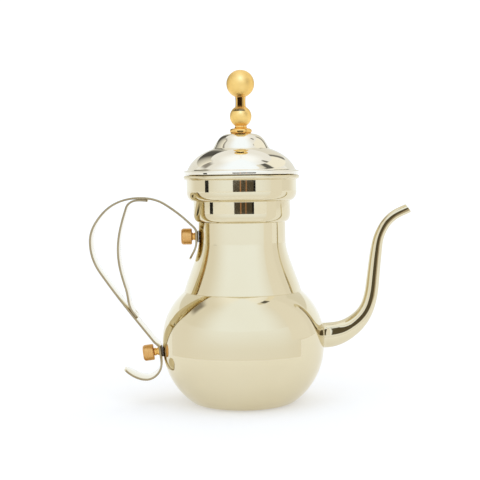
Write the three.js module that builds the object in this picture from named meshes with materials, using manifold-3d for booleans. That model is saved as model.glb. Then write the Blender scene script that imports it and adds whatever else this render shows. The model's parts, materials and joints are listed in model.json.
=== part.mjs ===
// A dallah: a polished metal coffee pot with a gourd-shaped body, a lift-off lid with a ball finial,
// a long gooseneck spout and a flat-strip handle held by two screwed fixings.
// Millimetres, +Z up. The origin is the centre of the flat base, the spout points along +X and the
// handle stands at -X.
import * as THREE from "three";
import { mergeVertices } from "three/addons/utils/BufferGeometryUtils.js";
import Module from "manifold-3d";

const wasm = await Module();
wasm.setup();

// ---------------------------------------------------------------- driving dimensions

// Sheet thicknesses.
const bodyWall = 1.0;
const spoutWall = 0.8;
const lidWall = 0.9;

// Gaps between pieces that fit each other.
const touchGap = 0.05;
const threadGap = 0.15;
const weldGap = 0.3;
const lidSeatGap = 0.3;
const skirtClearance = 0.5;

// Lower body: flat base, heel, lower arc, short upright band, upper arc up to the weld crease.
const bulbRadius = 55;
const bulbHeight = 76;
const baseRadius = 30;
const heelWidth = 6.7;
const heelHeight = 2;
const bandBottom = 39;
const bandTop = 43.5;
const creaseRadius = 39.7;

// Neck, from the crease upwards, and its two collars.
const throatRadius = 29.5;
const flareHeight = 33;
const throatHeight = 13.9;
const lowerCollar = { width: 3.4, curve: 6.0, band: 8.1 };
const upperCollar = { width: 4.5, curve: 6.8, band: 7.5 };
const rimWidth = 2.0;
const rimHeight = 3.2;

// Lid.
const flangeOverhang = -0.4;
const flangeHeight = 2.7;
const flangeStep = { width: 2.8, height: 1.3 };
const lowerDomeHeight = 13.4;
const tierRadius = 19.2;
const upperDomeHeight = 10.1;
const skirtDepth = 8;
const skirtWall = 0.8;

// Finial: a ring with a collar, a small ball, a slim neck and a large ball on one threaded rod.
const ringRadius = 7.5;
const ringHeight = 3.4;
const ringBulge = 1.6;
const ringCollar = { radius: 4.1, height: 2.1 };
const lowerBallRadius = 7.3;
const finialNeckRadius = 3.6;
const finialNeckHeight = 6.8;
const topBallRadius = 9.4;
const rodRadius = 1.5;
const rodGrip = 9;
const washer = { radius: 4.5, thickness: 1.0 };
const nut = { acrossCorners: 6.4, height: 2.4 };
const rodTail = 1.2;

// Handle fixings, measured outwards from the wall of the pot along each stud.
const upperFixingHeight = 37.2;
const lowerFixingHeight = 35.6;
const lowerFixingTilt = THREE.MathUtils.degToRad(7);
const studRadius = 2.0;
const studEndGap = 1.2;
const spacer = { radius: 4.0, thickness: 0.6 };
const boss = { wall: 0.55, upperLength: 2.2, lowerLength: 3.9, bevel: { width: 0.2, height: 0.3 } };
const bossGroove = { halfWidth: 0.35, depth: 0.25 };
const capNut = { radius: 5.5, length: 7.3, bevel: 0.5, chamfer: 1.2, crown: 1.3 };

// Handle strips.
const stripWidth = 20;
const stripThickness = 1.4;
const stripCornerRadius = 8.5;
const braceCornerRadius = 2;
const seatMargin = 0.3;
const handleReach = 102.0;
const handleCrest = { out: 38, up: 26.6 };
const braceReach = 83.5;
const braceTopWeld = { before: 6.1, past: 1.5 };
const braceFoot = { out: 16.0, length: 4.5 };
const braceElbow = { in: 4.8, rise: 0.5655, heading: 287 };
const shareSamples = 200;

// Spout.
const spoutRootHeight = 44.4;
const spoutRootRadius = 8.6;
const spoutTipRadius = 3.25;
const spoutOverrun = 3;
const mouthSlant = THREE.MathUtils.degToRad(10);
const mouthBlockSize = 20;
const pourHoleRadius = 6.5;

// Mesh fineness.
const bodySides = 32;
const smallSides = 20;
const curveSteps = 4;
const turnPerStep = 6;
const spoutSides = 14;
const spoutSteps = 22;
const ballSteps = 10;
const ringSteps = 8;

// ---------------------------------------------------------------- derived heights and places

const creaseZ = bulbHeight;
const throatZ = creaseZ + flareHeight + throatHeight;
const upperCollarZ = throatZ + lowerCollar.curve + lowerCollar.band;
const rimBottomZ = upperCollarZ + upperCollar.curve + upperCollar.band;
const rimTopZ = rimBottomZ + rimHeight;
const lowerCollarRadius = throatRadius + lowerCollar.width;
const mouthRadius = lowerCollarRadius + upperCollar.width;
const rimRadius = mouthRadius + rimWidth;

const lidRadius = rimRadius + flangeOverhang;
const lidBottomZ = rimTopZ + lidSeatGap;
const flangeTopZ = lidBottomZ + flangeHeight;
const domeFootRadius = lidRadius - flangeStep.width;
const domeFootZ = flangeTopZ + flangeStep.height;
const tierZ = domeFootZ + lowerDomeHeight;
const lidTopZ = tierZ + upperDomeHeight;

const ringTopZ = lidTopZ + ringHeight;
const ringCollarTopZ = ringTopZ + ringCollar.height;
const lowerBallZ = ringCollarTopZ + Math.sqrt(lowerBallRadius ** 2 - ringCollar.radius ** 2);
const lowerBallTopZ = lowerBallZ + Math.sqrt(lowerBallRadius ** 2 - finialNeckRadius ** 2);
const finialNeckTopZ = lowerBallTopZ + finialNeckHeight;
const topBallZ = finialNeckTopZ + Math.sqrt(topBallRadius ** 2 - finialNeckRadius ** 2);

const washerTopZ = lidTopZ - lidWall;
const nutTopZ = washerTopZ - washer.thickness;
const rodBottomZ = nutTopZ - nut.height - rodTail;
const rodTopZ = finialNeckTopZ + rodGrip;
const rodBore = rodRadius + threadGap;

const studBore = studRadius + threadGap;
const bossRadius = studBore + boss.wall;

// ---------------------------------------------------------------- finishes

const champagne = { color: 0xdcd0a8, roughness: 0.08, metalness: 1 };
const lidSilver = { color: 0xe8e2cc, roughness: 0.08, metalness: 1 };
const brushedGold = { color: 0xd9a868, roughness: 0.35, metalness: 1 };
const satinGold = { color: 0xf2cf82, roughness: 0.4, metalness: 1 };
const polishedGold = { color: 0xf0c060, roughness: 0.1, metalness: 1 };
const darkMetal = { color: 0x4a4034, roughness: 0.4, metalness: 1 };
const plainSteel = { color: 0xb8b8b4, roughness: 0.3, metalness: 1 };

// ---------------------------------------------------------------- outlines

/** Points of a circular arc that is upright at its start and ends at the given point. */
function arcFromUpright(startR, startZ, endR, endZ, steps) {
  const inset = startR - endR;
  const rise = endZ - startZ;
  const radius = (rise ** 2 + inset ** 2) / (2 * inset);
  const sweep = Math.asin(rise / radius);
  const points = [];
  for (let i = 0; i <= steps; i++) {
    const angle = (sweep * i) / steps;
    const r = startR - radius * (1 - Math.cos(angle));
    points.push(new THREE.Vector2(r, startZ + radius * Math.sin(angle)));
  }
  return points;
}

/** Points of a quarter ellipse that leaves the start flat and arrives upright. */
function bowlCurve(startR, startZ, width, height, steps) {
  const points = [];
  for (let i = 0; i <= steps; i++) {
    const angle = (Math.PI / 2) * (i / steps);
    const r = startR + width * Math.sin(angle);
    points.push(new THREE.Vector2(r, startZ + height * (1 - Math.cos(angle))));
  }
  return points;
}

/** Points of an outward half ellipse that rises from its start and ends above it. */
function bulge(startR, startZ, width, height, steps) {
  const half = height / 2;
  const curve = new THREE.EllipseCurve(startR, startZ + half, width, half, -Math.PI / 2, Math.PI / 2);
  return curve.getPoints(steps);
}

/** Points of a quadratic curve between two points with one control point. */
function bendCurve(start, control, end, steps) {
  const curve = new THREE.QuadraticBezierCurve(
    new THREE.Vector2(...start),
    new THREE.Vector2(...control),
    new THREE.Vector2(...end),
  );
  return curve.getPoints(steps);
}

/** The outline moved sideways, towards the left of its direction, with mitred corners. */
function offsetOutline(points, distance) {
  return points.map((point, i) => {
    const before = points[Math.max(i - 1, 0)];
    const after = points[Math.min(i + 1, points.length - 1)];
    const into = point.clone().sub(before).normalize();
    const out = after.clone().sub(point).normalize();
    if (i === 0) into.copy(out);
    if (i === points.length - 1) out.copy(into);
    const normal = new THREE.Vector2(-into.y - out.y, into.x + out.x).normalize();
    const mitre = distance / Math.max(normal.dot(new THREE.Vector2(-into.y, into.x)), 0.5);
    return point.clone().addScaledVector(normal, mitre);
  });
}

/** The outline without points that sit on top of each other. */
function withoutRepeats(points) {
  return points.filter((point, i) => i === 0 || point.distanceTo(points[i - 1]) > 1e-6);
}

/** The profile of the bulb from the edge of its base to the crease. */
function bulbProfile() {
  const heelRadius = baseRadius + heelWidth;
  const belt = arcFromUpright(bulbRadius, bandBottom, heelRadius, heelHeight, 2 * curveSteps);
  belt.reverse();
  const slope = belt[1].clone().sub(belt[0]);
  const control = heelRadius - (slope.x / slope.y) * heelHeight;
  return withoutRepeats([
    ...bendCurve([baseRadius, 0], [control, 0], [heelRadius, heelHeight], 3),
    ...belt,
    ...arcFromUpright(bulbRadius, bandTop, creaseRadius, creaseZ, 2 * curveSteps),
  ]);
}

/** The profile of the neck and its collars, from the crease to the underside of the rim. */
function neckProfile() {
  const flare = new THREE.CubicBezierCurve(
    new THREE.Vector2(creaseRadius, creaseZ),
    new THREE.Vector2(creaseRadius - 2.4, creaseZ + 0.3 * flareHeight),
    new THREE.Vector2(throatRadius + 1.4, creaseZ + 0.66 * flareHeight),
    new THREE.Vector2(throatRadius, creaseZ + flareHeight),
  );
  return withoutRepeats([
    ...flare.getPoints(2 * curveSteps - 2),
    ...bowlCurve(throatRadius, throatZ, lowerCollar.width, lowerCollar.curve, curveSteps),
    ...bowlCurve(lowerCollarRadius, upperCollarZ, upperCollar.width, upperCollar.curve, curveSteps),
    new THREE.Vector2(mouthRadius, rimBottomZ),
  ]);
}

/** The rolled rim, from the outside of the collar round to the mouth. */
function rimProfile() {
  return bulge(mouthRadius, rimBottomZ, rimWidth, rimHeight, 2 * curveSteps - 2);
}

/** The outside of the lid, from the bottom of its edge up to the axis. */
function lidProfile() {
  return withoutRepeats([
    new THREE.Vector2(lidRadius, lidBottomZ),
    ...bendCurve([lidRadius, flangeTopZ - 1], [lidRadius, flangeTopZ], [lidRadius - 1, flangeTopZ], 3),
    ...bendCurve(
      [domeFootRadius, domeFootZ],
      [domeFootRadius - 0.26 * (domeFootRadius - tierRadius), domeFootZ + 0.68 * lowerDomeHeight],
      [tierRadius, tierZ],
      2 * curveSteps - 2,
    ),
    ...bendCurve(
      [tierRadius, tierZ],
      [0.8 * tierRadius, lidTopZ - 1.2],
      [ringRadius, lidTopZ],
      curveSteps + 2,
    ),
  ]);
}

// ---------------------------------------------------------------- solids

/** A solid of revolution about Z from a closed (radius, height) outline. */
function lathe(points, sides) {
  const geometry = new THREE.LatheGeometry(points, sides);
  geometry.rotateX(Math.PI / 2);
  return geometry;
}

/** A disc or tube about Z between two heights. */
function ring(outerRadius, innerRadius, bottom, top, sides = smallSides) {
  const outline = [
    new THREE.Vector2(innerRadius, bottom),
    new THREE.Vector2(outerRadius, bottom),
    new THREE.Vector2(outerRadius, top),
    new THREE.Vector2(innerRadius, top),
  ];
  if (innerRadius > 0) outline.push(outline[0].clone());
  return lathe(outline, sides);
}

/** The closed three.js mesh as a manifold solid. */
function toSolid(geometry) {
  const bare = geometry.clone();
  bare.deleteAttribute("normal");
  bare.deleteAttribute("uv");
  const merged = mergeVertices(bare, 1e-5);
  return new wasm.Manifold(
    new wasm.Mesh({
      numProp: 3,
      vertProperties: Float32Array.from(merged.attributes.position.array),
      triVerts: Uint32Array.from(merged.index.array),
    }),
  );
}

/** The manifold solid as a three.js geometry. */
function toGeometry(solid) {
  const mesh = solid.getMesh();
  const geometry = new THREE.BufferGeometry();
  geometry.setAttribute("position", new THREE.BufferAttribute(mesh.vertProperties, 3));
  geometry.setIndex(new THREE.BufferAttribute(mesh.triVerts, 1));
  geometry.computeVertexNormals();
  return geometry;
}

/** The first geometry with the others cut away. */
function cut(geometry, ...tools) {
  const solid = tools.reduce((left, tool) => left.subtract(toSolid(tool)), toSolid(geometry));
  return toGeometry(solid);
}

/** A smooth planar path through knots of { x, z, heading in degrees }. */
class KnotPath extends THREE.CurvePath {
  constructor(knots) {
    super();
    this.knots = knots;
    for (let i = 1; i < knots.length; i++) this.add(KnotPath.span(knots[i - 1], knots[i]));
  }

  static span(from, to) {
    const start = new THREE.Vector3(from.x, 0, from.z);
    const end = new THREE.Vector3(to.x, 0, to.z);
    const reach = start.distanceTo(end) * 0.36;
    const leave = headingVector(from.heading).multiplyScalar(reach).add(start);
    const arrive = headingVector(to.heading).multiplyScalar(-reach).add(end);
    return new THREE.CubicBezierCurve3(start, leave, arrive, end);
  }

  /** Lengths along the path where a mesh needs a ring: every knot, and more where it bends. */
  stations(turnPerStep) {
    const lengths = [0];
    this.curves.forEach((curve, i) => {
      const turn = Math.abs(this.knots[i + 1].heading - this.knots[i].heading);
      const steps = turn === 0 ? 1 : Math.max(3, Math.ceil(turn / turnPerStep));
      const start = lengths.at(-1);
      for (let k = 1; k <= steps; k++) lengths.push(start + (curve.getLength() * k) / steps);
    });
    return lengths;
  }
}

/** The unit vector in the XZ plane at an angle in degrees from +X. */
function headingVector(degrees) {
  const angle = THREE.MathUtils.degToRad(degrees);
  return new THREE.Vector3(Math.cos(angle), 0, Math.sin(angle));
}

/** The direction to the left of a direction in the XZ plane. */
function leftOf(direction) {
  return new THREE.Vector3(-direction.z, 0, direction.x);
}

/** A flat strip along a path, with rounded corners in plan at both ends. */
function bentStrip(path, width, thickness, cornerRadius) {
  const length = path.getLength();
  const corner = [];
  for (let i = 0; i <= curveSteps; i++) {
    corner.push(cornerRadius * (1 - Math.cos((Math.PI / 2) * (i / curveSteps))));
  }
  const stations = [
    ...corner,
    ...path.stations(turnPerStep).filter((along) => Math.min(along, length - along) > cornerRadius + 0.5),
    ...corner.map((along) => length - along).reverse(),
  ];

  const spans = stations.length - 1;
  const geometry = new THREE.BoxGeometry(spans, width, thickness, spans, 1, 1);
  const position = geometry.attributes.position;
  for (let i = 0; i < position.count; i++) {
    const along = stations[Math.round(position.getX(i) + spans / 2)];
    const fromEnd = Math.min(along, length - along, cornerRadius);
    const inset = cornerRadius - Math.sqrt(cornerRadius ** 2 - (cornerRadius - fromEnd) ** 2);
    const narrowed = position.getY(i) * (1 - (2 * inset) / width);
    const u = along / length;
    const side = leftOf(path.getTangentAt(u)).multiplyScalar(position.getZ(i));
    const place = path.getPointAt(u).add(side);
    position.setXYZ(i, place.x, narrowed, place.z);
  }
  return geometry;
}

/** A round bar along a path whose radius follows a function of the share of its length. */
function bentBar(path, radiusAt, startOverrun, endOverrun) {
  const geometry = new THREE.CylinderGeometry(1, 1, 1, spoutSides, spoutSteps);
  const position = geometry.attributes.position;
  for (let i = 0; i < position.count; i++) {
    const u = THREE.MathUtils.clamp(position.getY(i) + 0.5, 0, 1);
    const tangent = path.getTangentAt(u);
    const radius = radiusAt(u);
    const overrun = u === 0 ? -startOverrun : u === 1 ? endOverrun : 0;
    const place = path.getPointAt(u).addScaledVector(tangent, overrun);
    place.addScaledVector(leftOf(tangent), radius * position.getX(i));
    position.setXYZ(i, place.x, radius * position.getZ(i), place.z);
  }
  return geometry;
}

// ---------------------------------------------------------------- body

function makeBulbShell() {
  const outer = bulbProfile();
  const inner = offsetOutline(outer, bodyWall);
  inner[0].set(baseRadius, bodyWall);
  inner.at(-1).set(creaseRadius - bodyWall, creaseZ);
  const outline = [
    new THREE.Vector2(0, 0),
    ...outer,
    ...inner.reverse(),
    new THREE.Vector2(0, bodyWall),
  ];
  const hole = new THREE.CylinderGeometry(pourHoleRadius, pourHoleRadius, bulbRadius, smallSides);
  hole.rotateZ(Math.PI / 2);
  hole.translate(bulbRadius, 0, spoutRootHeight);
  return cut(lathe(outline, bodySides), hole);
}

function makeNeckShell() {
  const outer = neckProfile();
  const inner = offsetOutline(outer, bodyWall);
  inner[0].setY(creaseZ);
  inner.at(-1).setY(rimTopZ);
  const outline = withoutRepeats([...outer, ...rimProfile(), ...inner.reverse(), outer[0].clone()]);
  return lathe(outline, bodySides);
}

// ---------------------------------------------------------------- spout

const spoutKnots = [
  { x: bulbRadius - 6, z: spoutRootHeight - 0.3, heading: 0, radius: spoutRootRadius + 0.4 },
  { x: bulbRadius + 2, z: spoutRootHeight, heading: 4, radius: spoutRootRadius },
  { x: bulbRadius + 19.5, z: spoutRootHeight + 6.2, heading: 36, radius: 6.7 },
  { x: bulbRadius + 31, z: spoutRootHeight + 21.8, heading: 72, radius: 4.8 },
  { x: bulbRadius + 34.4, z: spoutRootHeight + 42, heading: 83.5, radius: 4.35 },
  { x: bulbRadius + 36, z: spoutRootHeight + 55.6, heading: 82, radius: 4.05 },
  { x: bulbRadius + 39.5, z: spoutRootHeight + 70.1, heading: 65, radius: spoutTipRadius + 0.15 },
  { x: bulbRadius + 46.9, z: spoutRootHeight + 80.1, heading: 40, radius: spoutTipRadius },
  { x: bulbRadius + 58.3, z: spoutRootHeight + 86.1, heading: 25, radius: spoutTipRadius },
];
const spoutPath = new KnotPath(spoutKnots);

/** The outer radius of the spout at a share of its length, changing evenly between the knots. */
function spoutRadiusAt(u) {
  const lengths = [0, ...spoutPath.getCurveLengths()];
  const total = lengths.at(-1);
  const marks = spoutKnots.map((knot, i) => new THREE.Vector2(lengths[i] / total, knot.radius));
  const next = Math.max(1, marks.findIndex((mark) => mark.x >= u));
  const share = (u - marks[next - 1].x) / (marks[next].x - marks[next - 1].x);
  return THREE.MathUtils.lerp(marks[next - 1].y, marks[next].y, share);
}

function makeSpout() {
  const outer = bentBar(spoutPath, spoutRadiusAt, 0, spoutOverrun);
  const bore = bentBar(spoutPath, (u) => spoutRadiusAt(u) - spoutWall, 1, spoutOverrun + 1);
  const bulbWithGap = offsetOutline(bulbProfile(), -weldGap);
  const bulbOutline = [
    new THREE.Vector2(0, bulbWithGap[0].y),
    ...bulbWithGap,
    new THREE.Vector2(0, creaseZ),
  ];
  const bulb = lathe(bulbOutline, bodySides);
  const mouth = spoutKnots.at(-1);
  const mouthBlock = new THREE.BoxGeometry(mouthBlockSize, mouthBlockSize, mouthBlockSize);
  mouthBlock.translate(mouthBlockSize / 2, 0, 0);
  mouthBlock.rotateY(-THREE.MathUtils.degToRad(mouth.heading) - mouthSlant);
  mouthBlock.translate(mouth.x, 0, mouth.z);
  return cut(outer, bore, bulb, mouthBlock);
}

// ---------------------------------------------------------------- handle fixings

/** One fixing: where its stud leaves the wall and which way it points. */
class Fixing {
  constructor(wallX, wallZ, tilt, bossLength) {
    this.tilt = tilt;
    this.bossLength = bossLength;
    this.wall = new THREE.Vector3(wallX, 0, wallZ);
    this.outward = new THREE.Vector3(-Math.cos(tilt), 0, -Math.sin(tilt));
    this.spacerInside = weldGap / 2;
    this.stripInside = this.spacerInside + spacer.thickness + touchGap;
    this.stripOutside = this.stripInside + stripThickness;
    this.capInside = this.stripOutside + touchGap + bossLength + touchGap;
  }

  /** The point on the stud's axis at a distance from the wall. */
  at(distance) {
    return this.wall.clone().addScaledVector(this.outward, distance);
  }

  /** A geometry made about +Z from the wall, turned and moved on to the stud's axis. */
  place(geometry) {
    geometry.rotateY(-Math.PI / 2 - this.tilt);
    geometry.translate(this.wall.x, 0, this.wall.z);
    return geometry;
  }

  /** The middle of the strip where the fixing holds it. */
  get seat() {
    return this.at(this.stripInside + stripThickness / 2);
  }
}

/** The bulb's outer radius at a height on its lower arc or band. */
function bulbRadiusAt(z) {
  const drop = Math.max(bandBottom - z, 0);
  const inset = bulbRadius - baseRadius - heelWidth;
  const arc = ((bandBottom - heelHeight) ** 2 + inset ** 2) / (2 * inset);
  return bulbRadius - arc + Math.sqrt(arc ** 2 - drop ** 2);
}

const upperFixing = new Fixing(-throatRadius, creaseZ + upperFixingHeight, 0, boss.upperLength);
const lowerFixing = new Fixing(
  -bulbRadiusAt(lowerFixingHeight),
  lowerFixingHeight,
  lowerFixingTilt,
  boss.lowerLength,
);

function makeStud(fixing) {
  const end = fixing.capInside + capNut.length - capNut.crown - studEndGap;
  return fixing.place(ring(studRadius, 0, fixing.spacerInside, end));
}

function makeSpacer(fixing) {
  const start = fixing.spacerInside;
  return fixing.place(ring(spacer.radius, studBore, start, start + spacer.thickness));
}

function makeBoss(fixing) {
  const start = fixing.stripOutside + touchGap;
  const end = start + fixing.bossLength;
  const middle = (start + end) / 2;
  const outline = [
    [studBore, start],
    [bossRadius - boss.bevel.width, start],
    [bossRadius, start + boss.bevel.height],
    [bossRadius, middle - bossGroove.halfWidth],
    [bossRadius - bossGroove.depth, middle],
    [bossRadius, middle + bossGroove.halfWidth],
    [bossRadius, end - boss.bevel.height],
    [bossRadius - boss.bevel.width, end],
    [studBore, end],
    [studBore, start],
  ].map(([r, z]) => new THREE.Vector2(r, z));
  return fixing.place(lathe(outline, smallSides));
}

function makeCapNut(fixing) {
  const start = fixing.capInside;
  const end = start + capNut.length;
  const rounding = 0.35 * capNut.chamfer;
  const outline = [
    [0, end - capNut.crown],
    [studBore, end - capNut.crown],
    [studBore, start],
    [capNut.radius - capNut.bevel, start],
    [capNut.radius, start + capNut.bevel],
    [capNut.radius, end - capNut.chamfer],
    [capNut.radius - rounding, end - rounding],
    [capNut.radius - capNut.chamfer, end],
    [0, end],
  ].map(([r, z]) => new THREE.Vector2(r, z));
  return fixing.place(lathe(outline, smallSides));
}

// ---------------------------------------------------------------- handle strips

/** The knots of the main strip, from the tail above to the curled tail below. */
function handleKnots() {
  const top = upperFixing.seat;
  const low = lowerFixing.seat;
  const half = bossRadius + seatMargin;
  const lowHeading = 270 + THREE.MathUtils.radToDeg(lowerFixing.tilt);
  const along = headingVector(lowHeading);
  return [
    { x: top.x - 4.7, z: top.z - 15.6, heading: 69 },
    { x: top.x, z: top.z - half, heading: 90 },
    { x: top.x, z: top.z + half, heading: 90 },
    { x: top.x - 4.4, z: top.z + 9.3, heading: 136 },
    { x: top.x - 20.3, z: top.z + 21.9, heading: 147 },
    { x: top.x - handleCrest.out, z: top.z + handleCrest.up, heading: 180 },
    { x: -handleReach + 8.2, z: top.z + 16.1, heading: 229 },
    { x: -handleReach, z: top.z - 2.4, heading: 270 },
    { x: -handleReach + 6.9, z: top.z - 23.8, heading: 304 },
    { x: low.x - 4.3, z: low.z + 7.9, heading: 308 },
    { x: low.x - along.x * half, z: low.z - along.z * half, heading: lowHeading },
    { x: low.x + along.x * half, z: low.z + along.z * half, heading: lowHeading },
    { x: low.x + 0.6, z: low.z - 8.6, heading: 263 },
    { x: low.x - 9.5, z: low.z - 17.9, heading: 180 },
    { x: low.x - 24.8, z: low.z - 11.6, heading: 152 },
  ];
}

const handlePath = new KnotPath(handleKnots());

/** The point and heading beside the main strip where the brace lies on it. */
function braceKnotAt(u) {
  const tangent = handlePath.getTangentAt(u);
  const apart = stripThickness + weldGap / 2;
  const place = handlePath.getPointAt(u).addScaledVector(leftOf(tangent), apart);
  const heading = THREE.MathUtils.radToDeg(Math.atan2(tangent.z, tangent.x));
  return { x: place.x, z: place.z, heading: (heading + 360) % 360 };
}

/** The share of the main strip's length, between two shares, where it comes closest to a given X. */
function shareAtX(x, from, to) {
  let best = from;
  let bestMiss = Infinity;
  for (let i = 0; i <= shareSamples; i++) {
    const u = from + ((to - from) * i) / shareSamples;
    const miss = Math.abs(handlePath.getPointAt(u).x - x);
    if (miss < bestMiss) {
      best = u;
      bestMiss = miss;
    }
  }
  return best;
}

function makeHandleStrip() {
  const strip = bentStrip(handlePath, stripWidth, stripThickness, stripCornerRadius);
  const holes = [upperFixing, lowerFixing].map((fixing) =>
    fixing.place(ring(studBore, 0, 0, fixing.capInside)),
  );
  return cut(strip, ...holes);
}

/** The inner strip's path: welded under the crest, free down the back, welded on the lower run. */
function bracePath() {
  const top = upperFixing.seat;
  const low = lowerFixing.seat;
  const crestX = top.x - handleCrest.out;
  const outermost = shareAtX(-handleReach, 0, 1);
  const crest = shareAtX(crestX, 0, outermost);
  const start = shareAtX(crestX + braceTopWeld.before, 0.5 * crest, crest);
  const leave = shareAtX(crestX - braceTopWeld.past, crest, outermost);
  const foot = shareAtX(low.x - braceFoot.out, outermost, 0.8);
  const footEnd = foot - braceFoot.length / handlePath.getLength();
  const elbowZ = THREE.MathUtils.lerp(low.z, top.z, braceElbow.rise);
  return new KnotPath([
    braceKnotAt(start),
    braceKnotAt(leave),
    { x: -braceReach + 5.9, z: top.z + 20.2, heading: 252 },
    { x: -braceReach, z: top.z - 8.7, heading: 270 },
    { x: -braceReach + braceElbow.in, z: elbowZ, heading: braceElbow.heading },
    braceKnotAt(footEnd),
    braceKnotAt(foot),
  ]);
}

function makeHandleBrace() {
  return bentStrip(bracePath(), stripWidth, stripThickness, braceCornerRadius);
}

// ---------------------------------------------------------------- lid and finial

function makeLidDome() {
  const outer = lidProfile();
  const inner = offsetOutline(outer, lidWall);
  inner[0].setY(lidBottomZ);
  inner.at(-1).setY(lidTopZ - lidWall);
  const outline = [
    ...outer,
    new THREE.Vector2(rodBore, lidTopZ),
    new THREE.Vector2(rodBore, lidTopZ - lidWall),
    ...inner.reverse(),
    outer[0].clone(),
  ];
  return lathe(outline, bodySides);
}

function makeLidSkirt() {
  const outerRadius = mouthRadius - bodyWall - skirtClearance;
  return ring(outerRadius, outerRadius - skirtWall, lidBottomZ - skirtDepth, flangeTopZ, bodySides);
}

/** The side of a ball from the edge of its lower flat up to an upper flat or to the pole. */
function ballSide(radius, centreZ, lowerFlat, upperFlat) {
  const from = Math.asin(lowerFlat / radius);
  const to = Math.PI - Math.asin(upperFlat / radius);
  const points = [];
  for (let i = 0; i <= ballSteps; i++) {
    const angle = from + ((to - from) * i) / ballSteps;
    points.push(new THREE.Vector2(radius * Math.sin(angle), centreZ - radius * Math.cos(angle)));
  }
  return points;
}

/** The small ball: flat below and above, bored right through for the rod. */
function makeLowerBall() {
  const side = ballSide(lowerBallRadius, lowerBallZ, ringCollar.radius, finialNeckRadius);
  const outline = [
    ...side,
    new THREE.Vector2(rodBore, side.at(-1).y),
    new THREE.Vector2(rodBore, side[0].y),
    side[0].clone(),
  ];
  return lathe(outline, smallSides);
}

/** The large ball: flat below, with a blind hole that takes the end of the rod. */
function makeTopBall() {
  const side = ballSide(topBallRadius, topBallZ, finialNeckRadius, 0);
  side.at(-1).setX(0);
  const outline = [
    new THREE.Vector2(0, rodTopZ + threadGap),
    new THREE.Vector2(rodBore, rodTopZ + threadGap),
    new THREE.Vector2(rodBore, side[0].y),
    ...side,
  ];
  return lathe(outline, smallSides);
}

function makeBaseRing() {
  const outline = [
    new THREE.Vector2(rodBore, lidTopZ),
    ...bulge(ringRadius - ringBulge, lidTopZ, ringBulge, ringHeight, ringSteps),
    new THREE.Vector2(ringCollar.radius, ringTopZ),
    new THREE.Vector2(ringCollar.radius, ringCollarTopZ),
    new THREE.Vector2(rodBore, ringCollarTopZ),
    new THREE.Vector2(rodBore, lidTopZ),
  ];
  return lathe(outline, smallSides);
}

function makeHexNut(top) {
  const body = new THREE.CylinderGeometry(nut.acrossCorners / 2, nut.acrossCorners / 2, nut.height, 6);
  body.rotateX(Math.PI / 2);
  body.translate(0, 0, top - nut.height / 2);
  return cut(body, ring(rodBore, 0, top - 2 * nut.height, top + nut.height));
}

// ---------------------------------------------------------------- assembly

const pieces = [
  ["bulb_shell", champagne, makeBulbShell()],
  ["neck_shell", champagne, makeNeckShell()],
  ["spout", champagne, makeSpout()],
  ["handle_strip", champagne, makeHandleStrip()],
  ["handle_brace", champagne, makeHandleBrace()],
  ["upper_stud", plainSteel, makeStud(upperFixing)],
  ["lower_stud", plainSteel, makeStud(lowerFixing)],
  ["upper_spacer", darkMetal, makeSpacer(upperFixing)],
  ["lower_spacer", darkMetal, makeSpacer(lowerFixing)],
  ["upper_boss", polishedGold, makeBoss(upperFixing)],
  ["lower_boss", polishedGold, makeBoss(lowerFixing)],
  ["upper_cap_nut", brushedGold, makeCapNut(upperFixing)],
  ["lower_cap_nut", brushedGold, makeCapNut(lowerFixing)],
  ["lid_dome", lidSilver, makeLidDome()],
  ["lid_skirt", lidSilver, makeLidSkirt()],
  ["finial_base_ring", polishedGold, makeBaseRing()],
  ["finial_lower_ball", satinGold, makeLowerBall()],
  ["finial_neck", polishedGold, ring(finialNeckRadius, rodBore, lowerBallTopZ, finialNeckTopZ)],
  ["finial_top_ball", satinGold, makeTopBall()],
  ["finial_rod", plainSteel, ring(rodRadius, 0, rodBottomZ, rodTopZ)],
  ["finial_washer", plainSteel, ring(washer.radius, rodBore, nutTopZ, washerTopZ)],
  ["finial_nut", plainSteel, makeHexNut(nutTopZ)],
];

const pot = new THREE.Group();
for (const [name, finish, geometry] of pieces) {
  const mesh = new THREE.Mesh(geometry, new THREE.MeshStandardMaterial(finish));
  mesh.name = name;
  pot.add(mesh);
}

export default pot;
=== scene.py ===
"""A polished metal dallah: gourd-shaped body, lift-off lid, gooseneck spout and a bent strip handle.

Every piece is built in metres in the frame's own axes: +Z up, the spout along +X, the handle at -X.
"""

import json
import logging
import math
from dataclasses import dataclass, field, replace
from enum import Enum

import bpy
from mathutils import Matrix, Vector


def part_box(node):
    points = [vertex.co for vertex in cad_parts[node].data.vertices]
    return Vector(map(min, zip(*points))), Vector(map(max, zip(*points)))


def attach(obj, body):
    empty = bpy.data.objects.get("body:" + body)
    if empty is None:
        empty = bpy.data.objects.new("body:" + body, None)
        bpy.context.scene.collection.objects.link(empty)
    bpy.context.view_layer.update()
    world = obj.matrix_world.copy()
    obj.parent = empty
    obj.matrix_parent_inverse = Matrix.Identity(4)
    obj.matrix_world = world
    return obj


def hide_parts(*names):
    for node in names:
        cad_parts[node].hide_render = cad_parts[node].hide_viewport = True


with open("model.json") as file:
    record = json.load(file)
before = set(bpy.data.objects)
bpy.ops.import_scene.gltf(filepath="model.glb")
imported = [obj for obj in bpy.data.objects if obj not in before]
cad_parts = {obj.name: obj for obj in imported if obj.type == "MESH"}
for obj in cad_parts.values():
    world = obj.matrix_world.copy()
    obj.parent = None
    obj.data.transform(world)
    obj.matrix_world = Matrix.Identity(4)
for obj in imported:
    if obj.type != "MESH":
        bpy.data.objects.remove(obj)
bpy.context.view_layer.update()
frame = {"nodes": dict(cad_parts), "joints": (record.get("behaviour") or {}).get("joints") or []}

logging.basicConfig(level=logging.INFO, format="%(message)s")
log = logging.getLogger("dallah")

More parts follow.
